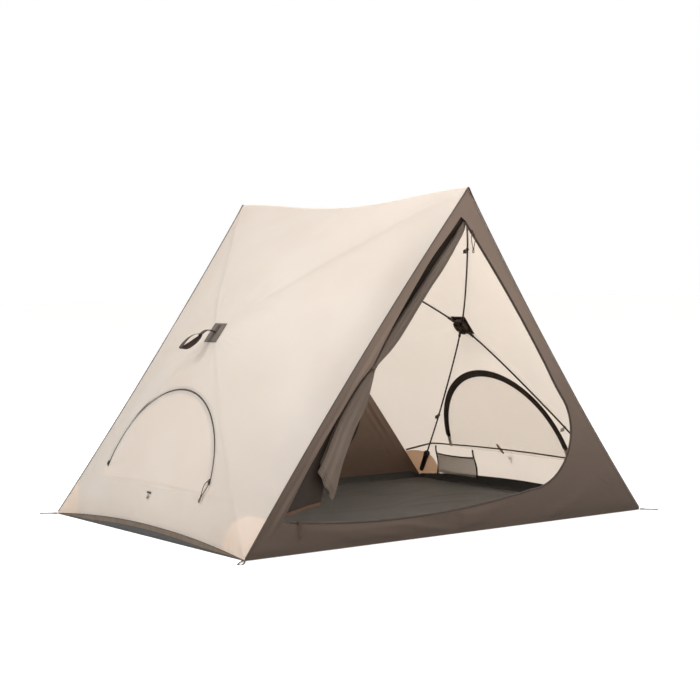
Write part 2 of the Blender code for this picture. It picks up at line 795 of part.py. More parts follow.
def offset_path(path, distance):
    """The path moved outwards (to its right hand side) by a distance."""
    moved = []
    for index, point in enumerate(path):
        before = path[max(index - 1, 0)]
        after = path[min(index + 1, len(path) - 1)]
        heading = (after - before).normalized()
        moved.append(point + Vector((heading.y, -heading.x)) * distance)
    return moved


def prism(name, loop, low, high):
    """A solid across the tent's depth, between two values of Y, from an outline in X and Z."""
    form = bmesh.new()
    face = form.faces.new([form.verts.new((point[0], low, point[1])) for point in loop])
    sweep = bmesh.ops.extrude_face_region(form, geom=[face])
    verts = [item for item in sweep["geom"] if isinstance(item, bmesh.types.BMVert)]
    bmesh.ops.translate(form, vec=(0.0, high - low, 0.0), verts=verts)
    return as_cutter(from_bmesh(name, form, TAUPE))


def gable_sheet(name, end, thickness, material):
    """A sheet that follows the gable seams' curve, wider than the gable; end is -1 front, 1 back."""
    form = bmesh.new()
    bmesh.ops.create_grid(form, x_segments=1, y_segments=14, size=1.0)
    for vert in form.verts:
        height = RIDGE_HEIGHT * (vert.co.y + 1) / 2
        vert.co = (vert.co.x * WIDTH * 0.55, end * gable_y(height), height)
    sheet = from_bmesh(name, form, material)
    return solidify(sheet, thickness)


def gable_outline():
    inset = GABLE_INSET * SLOPE_LENGTH / SLOPE.z
    run = -SLOPE.x / SLOPE.z
    foot = WIDTH / 2 - inset - (GABLE_FOOT - HEM_HEIGHT) * run
    top = HEM_HEIGHT + (WIDTH / 2 - inset) / run
    return [(-foot, GABLE_FOOT), (foot, GABLE_FOOT), (0.0, top)]


def build_gable(name, end):
    gable = gable_sheet(name, end, CLOTH, TAUPE)
    low, high = (-1.0, 0.0) if end < 0 else (0.0, 1.0)
    cut(gable, prism(f"{name}_outline", gable_outline(), low, high), "INTERSECT")
    margin = DOOR_ZIP_HALF_WIDTH + PANEL_GAP
    cut(gable, prism(f"{name}_doorway", offset_path(door_path(), margin), low, high))
    return gable


def build_back_door():
    door = gable_sheet("back_door", 1, CLOTH, TAUPE)
    loop = offset_path(door_path(), DOOR_ZIP_HALF_WIDTH)
    seam_start = loop[0].copy()
    seam_end = loop[-1].copy()
    shift = (seam_end - seam_start).normalized() * BACK_DOOR_EASE
    normal = Vector((shift.y, -shift.x)).normalized() * PANEL_GAP
    loop[0] = seam_start + shift * 0.2 + normal
    loop[-1] = seam_end - shift * 0.2 + normal
    cut(door, prism("back_door_outline", loop, 0.0, 1.0), "INTERSECT")
    return door


def build_door_zip():
    tape = gable_sheet("front_door_zip", -1, DOOR_ZIP_THICKNESS, ZIP_TAPE)
    path = door_path()
    outer = offset_path(path, DOOR_ZIP_HALF_WIDTH)
    inner = offset_path(path, -DOOR_ZIP_HALF_WIDTH)
    start = inner[0] + (inner[1] - inner[0]) * 0.35
    end = inner[-1] + (inner[-2] - inner[-1]) * 0.12
    outer_end = outer[-1] + (outer[-2] - outer[-1]) * 0.06
    outer_start = outer[0] + (outer[1] - outer[0]) * 0.15
    loop = [outer_start] + outer[1:-1] + [outer_end, end] + inner[1:-1][::-1] + [start]
    cut(tape, prism("door_zip_outline", loop, -1.0, 0.0), "INTERSECT")
    return tape


def slider_start(name):
    """Where a door slider stands on the zip, and the way that it runs from there."""
    path = door_path()
    if name.endswith("low"):
        return path[0].lerp(path[1], LOW_SLIDER_SHARE), path[1] - path[0]
    return path[-1].lerp(path[-2], HIGH_SLIDER_SHARE), path[-2] - path[-1]


def sill_run():
    """Middle of the circle along which the low slider runs on the sill, and its axis."""
    path = door_path()
    low = slider_start("front_door_slider_low")[0]
    first, last = path[6] - low, path[11] - low
    across = Vector((last.y, -last.x)) * first.dot(first) + Vector((-first.y, first.x)) * last.dot(last)
    middle = low + across / (2 * first.cross(last))
    lean = (gable_y(SILL_MIDDLE - 0.02) - gable_y(SILL_MIDDLE + 0.02)) / 0.04
    depth = -gable_y(low.y) + lean * (middle.y - low.y)
    return Vector((middle.x, depth, middle.y)), Vector((0.0, -1.0, lean)).normalized()


def build_door_slider(name, hang):
    """A slider on the front of the door zip with its hanging cord loop."""
    place, heading = slider_start(name)
    lean = (gable_y(place.y + 0.01) - gable_y(place.y - 0.01)) / 0.02
    rise = Vector((0.0, -lean, 1.0)).normalized()
    front = Vector((1.0, 0.0, 0.0)).cross(rise)
    along = Vector((heading.x, 0.0, 0.0)) + rise * heading.y
    base = DOOR_ZIP_THICKNESS / 2 + SLIDER_PLAY
    middle = Vector((place.x, -gable_y(place.y), place.y)) + front * (base + SLIDER_HEIGHT / 2)
    form = bmesh.new()
    bmesh.ops.create_cube(form, size=1.0)
    bmesh.ops.scale(form, vec=(SLIDER_LENGTH, SLIDER_WIDTH, SLIDER_HEIGHT), verts=form.verts)
    bmesh.ops.bevel(
        form, geom=form.edges[:], offset=0.0012, segments=1, affect="EDGES", profile=0.5, material=-1
    )
    bmesh.ops.transform(form, matrix=frame_matrix(middle, along, front.cross(along)), verts=form.verts)
    body = from_bmesh("slider", form, STEEL)
    loop = []
    for step in range(20):
        turn = 2 * math.pi * step / 20
        down = hang / 2 * (1 - math.cos(turn)) - 0.003
        across = PULL_WIDTH / 2 * math.sin(turn)
        loop.append(middle + front * SLIDER_HEIGHT / 2 + Vector((across, 0.0, -down)))
    pull = as_mesh(tube("pull", loop, PULL_CORD_RADIUS, STEEL, closed=True))
    return fuse(name, body, pull)


def seam_x(height):
    share = (height - DOOR_LEFT_HEIGHT) / (DOOR_TOP - DOOR_LEFT_HEIGHT)
    return DOOR_LEFT * (1 - share)


def gathered_width(height):
    """Width of the gathered door right of its seam: a narrow roll over the tie, a flare under it."""
    if height > TIE_HEIGHT:
        rise = (height - TIE_HEIGHT) / (DOOR_TOP - TIE_HEIGHT)
        return GATHER_WIDTH + GATHER_SWELL * math.sin(math.pi * rise) - GATHER_TAPER * rise
    drop = (TIE_HEIGHT - height) / TIE_HEIGHT
    return GATHER_WIDTH + GATHER_FLARE * drop - GATHER_DROOP * drop * drop


def build_gathered_sheet(name, material, shares, folds, depth, foot, behind):
    """Pleated cloth between two shares of the gathered width; a share of 0 is sewn to the gable."""
    first, last = shares
    low, rise = foot
    form = bmesh.new()
    bmesh.ops.create_grid(form, x_segments=6 * folds, y_segments=12, size=1.0)
    top = DOOR_TOP - GATHER_BELOW_TOP
    for vert in form.verts:
        share = (vert.co.x + 1) / 2
        drop = (1 - vert.co.y) / 2
        height = top + (low + rise * share - top) * drop
        width = gathered_width(height)
        x = seam_x(height) + DOOR_SEAM_GAP + width * (first + (last - first) * share)
        from_tie = abs(height - TIE_HEIGHT)
        loose = smooth_step(from_tie, 0.0, TIE_REACH_UP)
        pinch = TIE_PINCH + (1 - TIE_PINCH) * loose
        wave = math.sin(2 * math.pi * (folds * share + 0.25)) * depth * pinch
        set_back = DOOR_BEHIND + (behind - DOOR_BEHIND) * loose
        place = Vector((x, -gable_y(height) + set_back + wave, height))
        if first == 0.0 and share < 0.01:
            sewn = -gable_y(height) + CLOTH / 2 + GATHER_CLOTH / 2 + SEAM_PLAY
            seam = Vector((seam_x(height) - DOOR_SEAM_LAP, sewn, height))
            place = place.lerp(seam, smooth_step(from_tie, SEAM_FREE, SEAM_BACK))
        vert.co = place
    sheet = from_bmesh(name, form, material)
    return solidify(sheet, GATHER_CLOTH)


def build_front_door():
    shares = (0.0, OUTER_SHARE)
    foot = (OUTER_FOOT, OUTER_FOOT_RISE)
    build_gathered_sheet("front_door", TAUPE, shares, OUTER_PLEATS, OUTER_PLEAT_DEPTH, foot, DOOR_BEHIND)
    shares = (LINING_START, 1.0)
    foot = (LINING_FOOT, LINING_FOOT_RISE)
    build_gathered_sheet(
        "front_door_lining", LINING, shares, LINING_PLEATS, LINING_PLEAT_DEPTH, foot, LINING_BEHIND
    )


def build_door_tie():
    """A band round the gathered door, square to its seam, and the toggle that closes it."""
    seam = Vector((-DOOR_LEFT, 0.0, DOOR_TOP - DOOR_LEFT_HEIGHT)).normalized()
    square = seam.cross(Vector((0.0, -1.0, 0.0)))
    half_roll = gathered_width(TIE_HEIGHT) / 2
    near = -gable_y(TIE_HEIGHT) + CLOTH / 2 + GAP + TIE_PLAY
    middle = Vector((seam_x(TIE_HEIGHT) + DOOR_SEAM_GAP + half_roll, near + BAND_HALF_DEPTH, TIE_HEIGHT))
    matrix = frame_matrix(middle, square, Vector((0.0, 1.0, 0.0)))
    half_width = half_roll * seam.z + BAND_PLAY

    def rounded(inset):
        wide = half_width - inset
        deep = BAND_HALF_DEPTH - inset
        return [
            (math.copysign(wide * abs(x) ** 0.7, x), math.copysign(deep * abs(y) ** 0.7, y))
            for x, y in circle(1.0, 28)
        ]

    outlines = [rounded(0.0), rounded(BAND_THICKNESS)]
    band = as_mesh(flat_outline("band", outlines, BAND_HEIGHT / 2, WEBBING, matrix))
    side = middle + square * (half_width + TOGGLE_RADIUS - BAND_THICKNESS / 2)
    points = [side + seam * (i / 4 - 0.25) * TOGGLE_LENGTH for i in range(5)]
    toggle = as_mesh(tube("toggle", points, TOGGLE_RADIUS, WEBBING, [0.7, 1, 0.8, 1, 0.7]))
    return fuse("front_door_tie", band, toggle)


# Floor, pocket and stake loops

def rim_height(share):
    """Height of a side rim; share is 0 in the middle and 1 at a corner."""
    return RIM_CORNER_HEIGHT + (RIM_HEIGHT - RIM_CORNER_HEIGHT) * (1 - share ** 2)


def build_floor():
    """A tub whose side rims rise in the middle, to close the gap under the walls' arched hems."""
    half_x = WIDTH / 2 - FLOOR_INSET
    half_y = LENGTH / 2 - FLOOR_INSET
    inner = half_x - RIM_DIP
    quarter = [(half_x, half_y * share, rim_height(share)) for share in (0.0, 0.35, 0.65, 0.88, 1.0)]
    quarter.append((inner, half_y, RIM_END_HEIGHT))
    near = [(x, -y, height) for x, y, height in quarter[:0:-1]]
    right = near + quarter
    left = [(-x, -y, height) for x, y, height in right]
    form = bmesh.new()
    low = []
    high = []
    for x, y, height in right + left:
        lean = math.copysign(RIM_LEAN * height / RIM_HEIGHT, x) if abs(x) > inner else 0.0
        low.append(form.verts.new((x, y, 0.0)))
        high.append(form.verts.new((x - lean, y, height)))
    form.faces.new(low)
    for index in range(len(low)):
        after = (index + 1) % len(low)
        form.faces.new((low[index], low[after], high[after], high[index]))
    floor = from_bmesh("floor_tub", form, FLOOR_CLOTH)
    solidify(floor, FLOOR_THICKNESS, -1.0)
    return floor


def build_pocket():
    """A netting pouch, open at the top, sewn to the right wall near its back corner."""
    side = SIDES["right"]
    form = bmesh.new()
    bmesh.ops.create_cube(form, size=1.0)
    open_faces = [face for face in form.faces if face.normal.z > 0.5 or face.normal.x > 0.5]
    bmesh.ops.delete(form, geom=open_faces, context="FACES")
    bmesh.ops.subdivide_edges(
        form, edges=[edge for edge in form.edges], cuts=3, use_grid_fill=True
    )
    for vert in form.verts:
        up_share = vert.co.z + 0.5
        away = 0.5 - vert.co.x
        across = vert.co.y + 0.5
        y = POCKET_FRONT + (POCKET_BACK - POCKET_FRONT) * across
        slope = POCKET_FOOT + (POCKET_TOP - POCKET_FOOT) * up_share
        belly = 0.6 + 0.4 * math.sin(math.pi * across) + 0.15 * up_share
        inside = CLOTH / 2 + POCKET_CLOTH + POCKET_CLEARANCE
        inside += POCKET_DEPTH * away * belly * (0.55 + 0.45 * up_share)
        vert.co = cloth_point(side, y, slope, -inside)
    pocket = from_bmesh("gear_pocket", form, NETTING)
    return solidify(pocket, POCKET_CLOTH)


def build_stake_loops():
    half = STAKE_WIDTH / 2
    steps = 8

    def rounded(spread):
        radius = half - spread
        far = STAKE_LENGTH - half
        loop = [(spread, -radius)]
        for i in range(steps + 1):
            turn = -math.pi / 2 + math.pi * i / steps
            loop.append((far + radius * math.cos(turn), radius * math.sin(turn)))
        loop.append((spread, radius))
        return loop

    for side_name, x_sign in SIDES.items():
        for end, y_sign in (("front", -1), ("back", 1)):
            name = f"{side_name}_{end}_stake_loop"
            corner = Vector((x_sign * (WIDTH / 2 + STAKE_PLAY), y_sign * (LENGTH / 2 + STAKE_PLAY), 0.0))
            heading = Vector((x_sign, y_sign, 0.0)).normalized()
            start = corner + Vector((0.0, 0.0, STAKE_LIFT + STAKE_THICKNESS / 2))
            matrix = frame_matrix(start, heading, Vector((0.0, 0.0, 1.0)).cross(heading))
            outlines = [rounded(0.0), rounded(STAKE_STRAP)]
            flat_outline(name, outlines, STAKE_THICKNESS / 2, WEBBING, matrix)


# Joint axes

def make_pivot(name, place, pieces, carrier=None):
    """An empty on a joint's axis, which carries the pieces that move with the joint."""
    pivot = bpy.data.objects.new(f"{name}_pivot", None)
    pivot.empty_display_size = 0.02
    SHELTER.objects.link(pivot)
    pivot.location = place
    if carrier:
        pivot.parent = carrier
        pivot.matrix_parent_inverse = Matrix.Translation(-carrier.location)
    for piece_name in pieces:
        if piece_name in bpy.data.objects:
            piece = bpy.data.objects[piece_name]
            piece.parent = pivot
            piece.matrix_parent_inverse = Matrix.Translation(-place)
    return pivot


def build_hub_pivots(side_name):
    side = SIDES[side_name]
    pieces = [f"{side_name}_hub", f"{side_name}_hub_patch"]
    hub = make_pivot(f"{side_name}_hub", hub_seat(side, hub_top()), pieces)
    root = loop_frame(side)[0]
    make_pivot(f"{side_name}_pull_loop", root, [f"{side_name}_pull_loop"], hub)
    for corner_name, corner in CORNERS.items():
        pieces = [f"{side_name}_{kind}_{corner_name}" for kind in ("pole", "boot", "tie")]
        pin = pole_point(side, corner, PIVOT_RADIUS)
        make_pivot(f"{side_name}_pole_{corner_name}", pin, pieces, hub)


def build_wall_pivots(side_name):
    side = SIDES[side_name]
    folds = {}
    for sector_name, (along, up) in SECTORS.items():
        edge = place_on_wall(side, along * half_length(up), (1 + up) * HALF_SLOPE, 0.0)
        name = f"{side_name}_wall_{sector_name}"
        folds[sector_name] = make_pivot(name, edge, [name])
    lower = folds["lower"]
    pieces = [f"{side_name}_window_{kind}" for kind in ("zip", "net", "toggle")]
    if side_name == "right":
        pieces.append("gear_pocket")
    make_pivot(f"{side_name}_window", lower.location.copy(), pieces, lower)
    flap = f"{side_name}_window_flap"
    make_pivot(flap, flap_fold(side), [flap], lower)
    for end in ("front", "back"):
        slider = f"{side_name}_window_slider_{end}"
        make_pivot(slider, window_matrix(side).translation.copy(), [slider], lower)


def build_door_pivots():
    make_pivot("back_door", Vector((DOOR_LEFT, gable_y(DOOR_LEFT_HEIGHT), DOOR_LEFT_HEIGHT)), ["back_door"])
    low = "front_door_slider_low"
    make_pivot(low, sill_run()[0], [low])
    high = "front_door_slider_high"
    top = slider_start(high)[0]
    make_pivot(high, Vector((top.x, -gable_y(top.y), top.y)), [high])


def build_shelter():
    build_floor()
    for side_name in SIDES:
        for sector_name in SECTORS:
            build_wall_panel(side_name, sector_name)
        build_window(side_name)
        build_window_toggle(side_name)
        build_hub(side_name)
        build_pull_loop(side_name)
        for corner_name in CORNERS:
            build_pole(side_name, corner_name)
            if corner_name.endswith("low"):
                build_boot(side_name, corner_name)
            if corner_name != "back_high":
                build_tie(side_name, corner_name)
    build_gable("front_gable", -1)
    build_gable("back_gable", 1)
    build_back_door()
    build_door_zip()
    build_front_door()
    build_door_tie()
    build_door_slider("front_door_slider_low", LOW_PULL_LENGTH)
    build_door_slider("front_door_slider_high", PULL_LENGTH)
    build_pocket()
    build_stake_loops()
    for side_name in SIDES:
        build_hub_pivots(side_name)
        build_wall_pivots(side_name)
    build_door_pivots()


build_shelter()
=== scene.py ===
from functools import partial
from math import acos, atan2, copysign, cos, hypot, pi, radians, sin, sqrt, tan

import bmesh
import bpy
from mathutils import Matrix, Vector, noise


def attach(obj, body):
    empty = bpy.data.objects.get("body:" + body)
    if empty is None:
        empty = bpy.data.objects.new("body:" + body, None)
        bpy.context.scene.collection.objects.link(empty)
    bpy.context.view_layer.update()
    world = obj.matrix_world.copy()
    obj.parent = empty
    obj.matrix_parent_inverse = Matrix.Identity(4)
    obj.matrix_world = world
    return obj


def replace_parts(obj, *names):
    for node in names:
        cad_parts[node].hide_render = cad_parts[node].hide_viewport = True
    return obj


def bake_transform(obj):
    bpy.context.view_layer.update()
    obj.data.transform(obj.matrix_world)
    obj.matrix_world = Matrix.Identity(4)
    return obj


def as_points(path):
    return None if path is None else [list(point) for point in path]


# Beach shelter: a small A-frame hub tent in cream and taupe polyester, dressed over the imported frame.
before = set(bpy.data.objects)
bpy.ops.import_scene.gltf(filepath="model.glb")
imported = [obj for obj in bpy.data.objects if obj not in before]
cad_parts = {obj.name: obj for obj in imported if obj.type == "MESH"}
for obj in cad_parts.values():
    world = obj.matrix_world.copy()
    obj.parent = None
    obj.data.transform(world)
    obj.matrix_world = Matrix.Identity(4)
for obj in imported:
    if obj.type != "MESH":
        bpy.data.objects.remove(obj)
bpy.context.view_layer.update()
cabin = bpy.context.scene.collection
xWay, yWay, zWay = Matrix.Identity(3)
sides = {"left": -1, "right": 1}
ends = {"front": -1, "back": 1}
sectors = {"lower": (0, -1), "front": (-1, 0), "back": (1, 0), "top": (0, 1)}
corners = {"front_low": (-1, -1), "back_low": (1, -1), "front_high": (-1, 1), "back_high": (1, 1)}

wall = {
    "width": 2.0,  # metres, across the doorway at the ground
    "length": 1.5,
    "ridgeHeight": 1.345,
    "ridgeLength": 1.618,
    "hubBow": 0.193,  # how far the hub holds the cloth out
    "poleBow": 0.029,
    "hubSeat": 0.05,
    "seamCurve": 0.030,
    "ridgeSag": 0.045,
    "hemArch": 0.032,
    "hemHeight": 0.004,
    "thickness": 0.001,
    "creaseSoft": 0.045,  # how widely the cloth rounds over each pole
    "ripple": 0.0032,  # slow waves in the taut cloth
    "pucker": 0.001,  # small gathers along the sewn edges
    "grid": 54,
}
window = {
    "radius": 0.41,
    "seam": 0.178,  # up the slope from the ground
    "shift": 0.02,
    "shoulder": 45,
    "blend": 0.06,
    "tapeHalf": 0.0122,
    "innerHalf": 0.0162,  # the dark band that covers the zip inside
    "slot": 0.0034,  # cloth's edge from the middle of the zip
    "coilRadius": 0.0024,
    "toothPitch": 0.004,  # real teeth are 1.5 mm apart, too fine to show
    "sliderAngle": 9,
}
door = {
    "top": 1.215,
    "left": -0.837,
    "leftHeight": 0.122,
    "corner": 0.845,
    "cornerHeight": 0.137,
    "cornerRadius": 0.225,
    "sillSag": 0.045,
    "sideBow": 0.018,
    "tieHeight": 0.667,
}


def say(stage):
    print(f"scene: {stage}")


# Materials

def linearColour(code):
    # an sRGB hex code as the linear colour that nodes take
    parts = [int(code[i:i + 2], 16) / 255 for i in (1, 3, 5)]
    return [x / 12.92 if x <= 0.04045 else ((x + 0.055) / 1.055) ** 2.4 for x in parts] + [1.0]


def addNode(tree, kind, output, sockets=None, stops=(), **settings):
    # one node; sockets gives each input a value or the output that feeds it
    node = tree.nodes.new("ShaderNode" + kind)
    for key, value in settings.items():
        setattr(node, key, value)
    for key, value in (sockets or {}).items():
        if isinstance(value, bpy.types.NodeSocket):
            tree.links.new(value, node.inputs[key])
        else:
            node.inputs[key].default_value = linearColour(value) if isinstance(value, str) else value
    if stops:
        for element, (place, code) in zip(node.color_ramp.elements, stops):
            element.position, element.color = place, linearColour(code)
    return node.outputs[output] if output else node


def emptyTree(holder):
    holder.use_nodes = True
    holder.node_tree.nodes.clear()
    return partial(addNode, holder.node_tree)


def newMaterial(name):
    material = bpy.data.materials.new(name)
    return material, emptyTree(material)


def bands(node, vector, period, way, distortion, detail=2.0, detailScale=1.0):
    # a Wave texture's bands repeat every pi / 10 / scale
    values = {"Vector": vector, "Scale": pi / 10 / period, "Distortion": distortion, "Detail": detail}
    values["Detail Scale"] = detailScale
    return node("TexWave", "Fac", values, wave_type="BANDS", bands_direction=way)


def mottle(node, vector, scale, detail, roughness=0.5):
    return node("TexNoise", "Fac", {"Vector": vector, "Scale": scale, "Detail": detail, "Roughness": roughness})


def maths(node, operation, first, second):
    return node("Math", "Value", {0: first, 1: second}, operation=operation)


def spanned(node, value, low, high, first=0.0, last=1.0):
    values = {"Value": value, "From Min": low, "From Max": high, "To Min": first, "To Max": last}
    return node("MapRange", "Result", values)


def bump(node, strength, distance, height, **more):
    return node("Bump", "Normal", {"Strength": strength, "Distance": distance, "Height": height, **more})


def mixed(node, factor, first, second, **settings):
    return node("Mix", "Result", {"Factor": factor, "A": first, "B": second}, data_type="RGBA", **settings)


def surfaced(material, node, shader):
    node("OutputMaterial", None, {"Surface": shader})
    return material


def wovenCloth(name, light, dark, through, share, threads, roughness=0.72, dust=0.0, low=None):
    # plain-woven polyester: fine crossing threads, soft sheen, and light that comes through it
    material, node = newMaterial(name)
    place, flat = node("TexCoord", "Object"), node("TexCoord", "UV")
    weave = maths(node, "MULTIPLY", *[bands(node, flat, threads, way, 0.6, 1.0, 2.0) for way in "XY"])
    crumple = mottle(node, place, 26.0, 5.0, 0.55)
    colour = node("ValToRGB", "Color", {"Fac": mottle(node, place, 3.1, 3.0)}, [(0.30, dark), (0.70, light)])
    colour = mixed(node, 0.07, colour, weave, blend_type="SOFT_LIGHT")
    height = node("SeparateXYZ", "Z", {"Vector": place})
    if low:
        # painted shade: the colour darkens towards the ground, where less light falls on the cloth
        colour = mixed(node, spanned(node, height, 0.02, 0.90, 1.0, 0.0), colour, low)
    if dust:
        spread = maths(node, "MULTIPLY", spanned(node, height, 0.0, 0.11, dust, 0.0), crumple)
        colour = mixed(node, spread, colour, "#B8A58E")
    creased = bump(node, 0.35, 0.0022, crumple, Normal=bump(node, 0.35, 0.0003, weave))
    face = node("BsdfPrincipled", "BSDF", {
        "Base Color": colour, "Roughness": spanned(node, crumple, 0.0, 1.0, roughness - 0.08, roughness + 0.08),
        "Normal": creased, "Sheen Weight": 0.08, "Specular IOR Level": 0.35})
    if share:
        passed = node("BsdfTranslucent", "BSDF", {"Color": through, "Normal": creased})
        face = node("MixShader", "Shader", {0: share, 1: face, 2: passed})
    return surfaced(material, node, face)


def solidFinish(name, light, dark, roughness, grain, depth, metallic=0.0, coat=0.0, stretch=(1, 1, 1)):
    # a hard finish: colour that wanders a little and a fine surface grain of the given size
    material, node = newMaterial(name)
    place = node("TexCoord", "Object")
    skin = mottle(node, node("Mapping", "Vector", {"Vector": place, "Scale": stretch}), 1 / grain, 3.0, 0.6)
    wear = mottle(node, place, 38.0, 4.0, 0.6)
    values = {
        "Base Color": node("ValToRGB", "Color", {"Fac": wear}, [(0.35, dark), (0.68, light)]),
        "Roughness": spanned(node, wear, 0.0, 1.0, roughness - 0.06, roughness + 0.06),
        "Normal": bump(node, 0.5, depth, skin), "Metallic": metallic,
    }
    if coat:
        values.update({"Coat Weight": coat, "Coat Roughness": 0.15})
    return surfaced(material, node, node("BsdfPrincipled", "BSDF", values))


def ribbedStrap(name, light, dark, rib):
    # webbing and zip tape: ribs across the strap, set along its own UV, in metres
    material, node = newMaterial(name)
    flat = node("TexCoord", "UV")
    ribs, yarn = bands(node, flat, rib, "X", 1.2, 2.0, 1.5), bands(node, flat, rib * 0.8, "Y", 0.8)
    height = maths(node, "MULTIPLY", ribs, yarn)
    shade = maths(node, "ADD", height, mottle(node, node("TexCoord", "Object"), 30.0, 4.0))
    return surfaced(material, node, node("BsdfPrincipled", "BSDF", {
        "Base Color": node("ValToRGB", "Color", {"Fac": shade}, [(0.30, dark), (1.0, light)]), "Roughness": 0.8,
        "Normal": bump(node, 0.6, 0.0005, height), "Sheen Weight": 0.1}))


def openNetting(name, light, dark, pitch, cover):
    # knitted netting: crossing yarns with holes; real holes are about 1 mm, drawn coarser to show
    material, node = newMaterial(name)
    turned = node("Mapping", "Vector", {"Vector": node("TexCoord", "UV"), "Rotation": (0.0, 0.0, radians(45))})
    crossing = maths(node, "MAXIMUM", *[bands(node, turned, pitch, way, 0.3) for way in "XY"])
    return surfaced(material, node, node("BsdfPrincipled", "BSDF", {
        "Base Color": node("ValToRGB", "Color", {"Fac": crossing}, [(0.5, dark), (1.0, light)]),
        "Roughness": 0.85, "Alpha": spanned(node, crossing, 1 - cover, 1.15 - cover)}))


# Thread spacing is drawn at 1.6 mm; the real cloth has a thread every 0.2 mm, far too fine to show.
cream = wovenCloth("cream coated polyester, plain woven", "#F6F1EC", "#EFE8E1", "#FFF9F2", 0.60, 0.0016, dust=0.5)
# both taupe cloths take a painted shade (low) that darkens them towards the ground
taupe = wovenCloth("taupe coated polyester, plain woven", "#B59E8F", "#A99485", "#BC8450", 0.13, 0.0016, low="#6A5B50")
taupeDouble = wovenCloth(
    "doubled taupe polyester, plain woven", "#7F6E62", "#705F54", "#A87A4C", 0.07, 0.0016, low="#65554A")
# painted shade: the outer door cloth is taupe; this dark brown copy paints the shadow it lies in, rolled back inside
# the doorway
doorShade = wovenCloth("taupe door polyester with painted shade, plain woven", "#43352B", "#372B23", "#5E4330", 0.03, 0.0016)
bootCloth = wovenCloth("black nylon sleeve cloth, woven", "#2C231D", "#211A15", "#211A15", 0.0, 0.0018, 0.62)
lining = wovenCloth("grey brown lining polyester, plain woven", "#988779", "#847366", "#A88B70", 0.10, 0.0014)
groundCloth = wovenCloth(
    "dark grey Oxford groundsheet, coated", "#3E4041", "#353738", "#353738", 0.0, 0.0024, 0.62, dust=0.10)
hubPatchCloth = wovenCloth("grey brown Oxford patch, woven", "#74695F", "#665B52", "#665B52", 0.0, 0.0022)
cornerCloth = wovenCloth("tan reinforcing polyester, woven", "#F4E2D0", "#EDD9C5", "#FFF0E0", 0.50, 0.0018)
bindingTape = ribbedStrap("brown seam binding, folded tape", "#8C6A52", "#5E432F", 0.0020)
hemTape = ribbedStrap("taupe hem band, woven tape", "#7E6C5C", "#5C4C3F", 0.0022)
webbing = ribbedStrap("dark brown polyester webbing, woven", "#4A332A", "#2A1A14", 0.0024)
windowTape = ribbedStrap("near-black zip tape, knitted", "#3A2A1E", "#231810", 0.0018)
paleTape = ribbedStrap("pale zip tape end, knitted", "#D9CBBB", "#BFAF9D", 0.0018)
darkBinding = ribbedStrap("black brown elastic binding, folded", "#37281E", "#221811", 0.0016)
elastic = ribbedStrap("black elastic cord, braided", "#2B221C", "#1A1410", 0.0016)
paleCord = ribbedStrap("pale cord, braided polyester", "#D8C9BA", "#A99684", 0.0014)
palePull = ribbedStrap("rosy brown pull cord, braided polyester", "#8E6E66", "#5E453E", 0.0014)
paleThread = ribbedStrap("grey brown sewing thread, twisted", "#8D7F73", "#6C6057", 0.0012)
doorTape = ribbedStrap("taupe zip tape, knitted", "#75665A", "#5A4C42", 0.0018)
cordBraid = ribbedStrap("dark brown cord, braided polyester", "#5C4335", "#34241C", 0.0019)
netCloth = openNetting("pale fly netting, knitted polyester", "#FBF5EE", "#F0E8DE", 0.0042, 0.08)
pocketNet = openNetting("grey pocket netting, knitted polyester", "#D2C8BC", "#B0A598", 0.0034, 0.50)
nylon = solidFinish("dark brown nylon, injection moulded", "#43342A", "#2C211A", 0.46, 0.0009, 0.00012)
paleNylon = solidFinish("pale grey nylon, injection moulded", "#B9AEA1", "#948A7E", 0.46, 0.0009, 0.00012)
coilNylon = solidFinish("dark brown zip coil, extruded nylon", "#4A382B", "#2E2119", 0.42, 0.0007, 0.0001)
glassfibre = solidFinish(
    "dark glass-fibre rod, pultruded", "#33261C", "#20160F", 0.34, 0.0016, 0.00008, coat=0.35, stretch=(1, 1, 0.15))
paleZinc = solidFinish("pale plated pull tab, die cast", "#CBBFB2", "#A99C8E", 0.42, 0.0010, 0.00005, 0.4)
darkZinc = solidFinish("dark plated slider, die cast", "#574A40", "#3C322B", 0.40, 0.0010, 0.00005, 0.5)
zinc = solidFinish("zinc alloy, die cast and plated", "#C2BBAF", "#A19A8E", 0.33, 0.0012, 0.00005, 1.0)
say("materials ready")


# Mesh helpers

def ease(value, low, high):
    share = min(max((value - low) / (high - low), 0), 1)
    return share * share * (3 - 2 * share)


def hump(share):
    return sin(pi * share)


def wander(*place):
    return noise.noise(Vector(place))


def along(table, place):
    # a smooth curve through (place, value) pairs
    last = len(table) - 1
    place = min(max(place, table[0][0]), table[last][0])
    index = min(max(sum(mark <= place for mark, _ in table) - 1, 0), last - 1)
    (first, low), (second, high) = table[index], table[index + 1]

    def lean(i):
        before, after = table[max(i - 1, 0)], table[min(i + 1, last)]
        return (after[1] - before[1]) / (after[0] - before[0]) * (second - first)

    share = (place - first) / (second - first)
    rest = 1 - share
    return (low + (high - low) * share * share * (3 - 2 * share) + lean(index) * share * rest * rest
            - lean(index + 1) * share * share * rest)


def headings(path):
    # the direction of travel at each point
    last = len(path) - 1
    return [(path[min(i + 1, last)] - path[max(i - 1, 0)]).normalized() for i in range(last + 1)]


def asPiece(name, form, *materials):
    mesh = bpy.data.meshes.new(name)
    form.to_mesh(mesh)
    form.free()
    for material in materials:
        mesh.materials.append(material)
    piece = bpy.data.objects.new(name, mesh)
    cabin.objects.link(piece)
    return piece


def linkMesh(name, form, material, smooth=True):
    bmesh.ops.recalc_face_normals(form, faces=form.faces)
    for face in form.faces:
        face.smooth = smooth
    return asPiece(name, form, material)


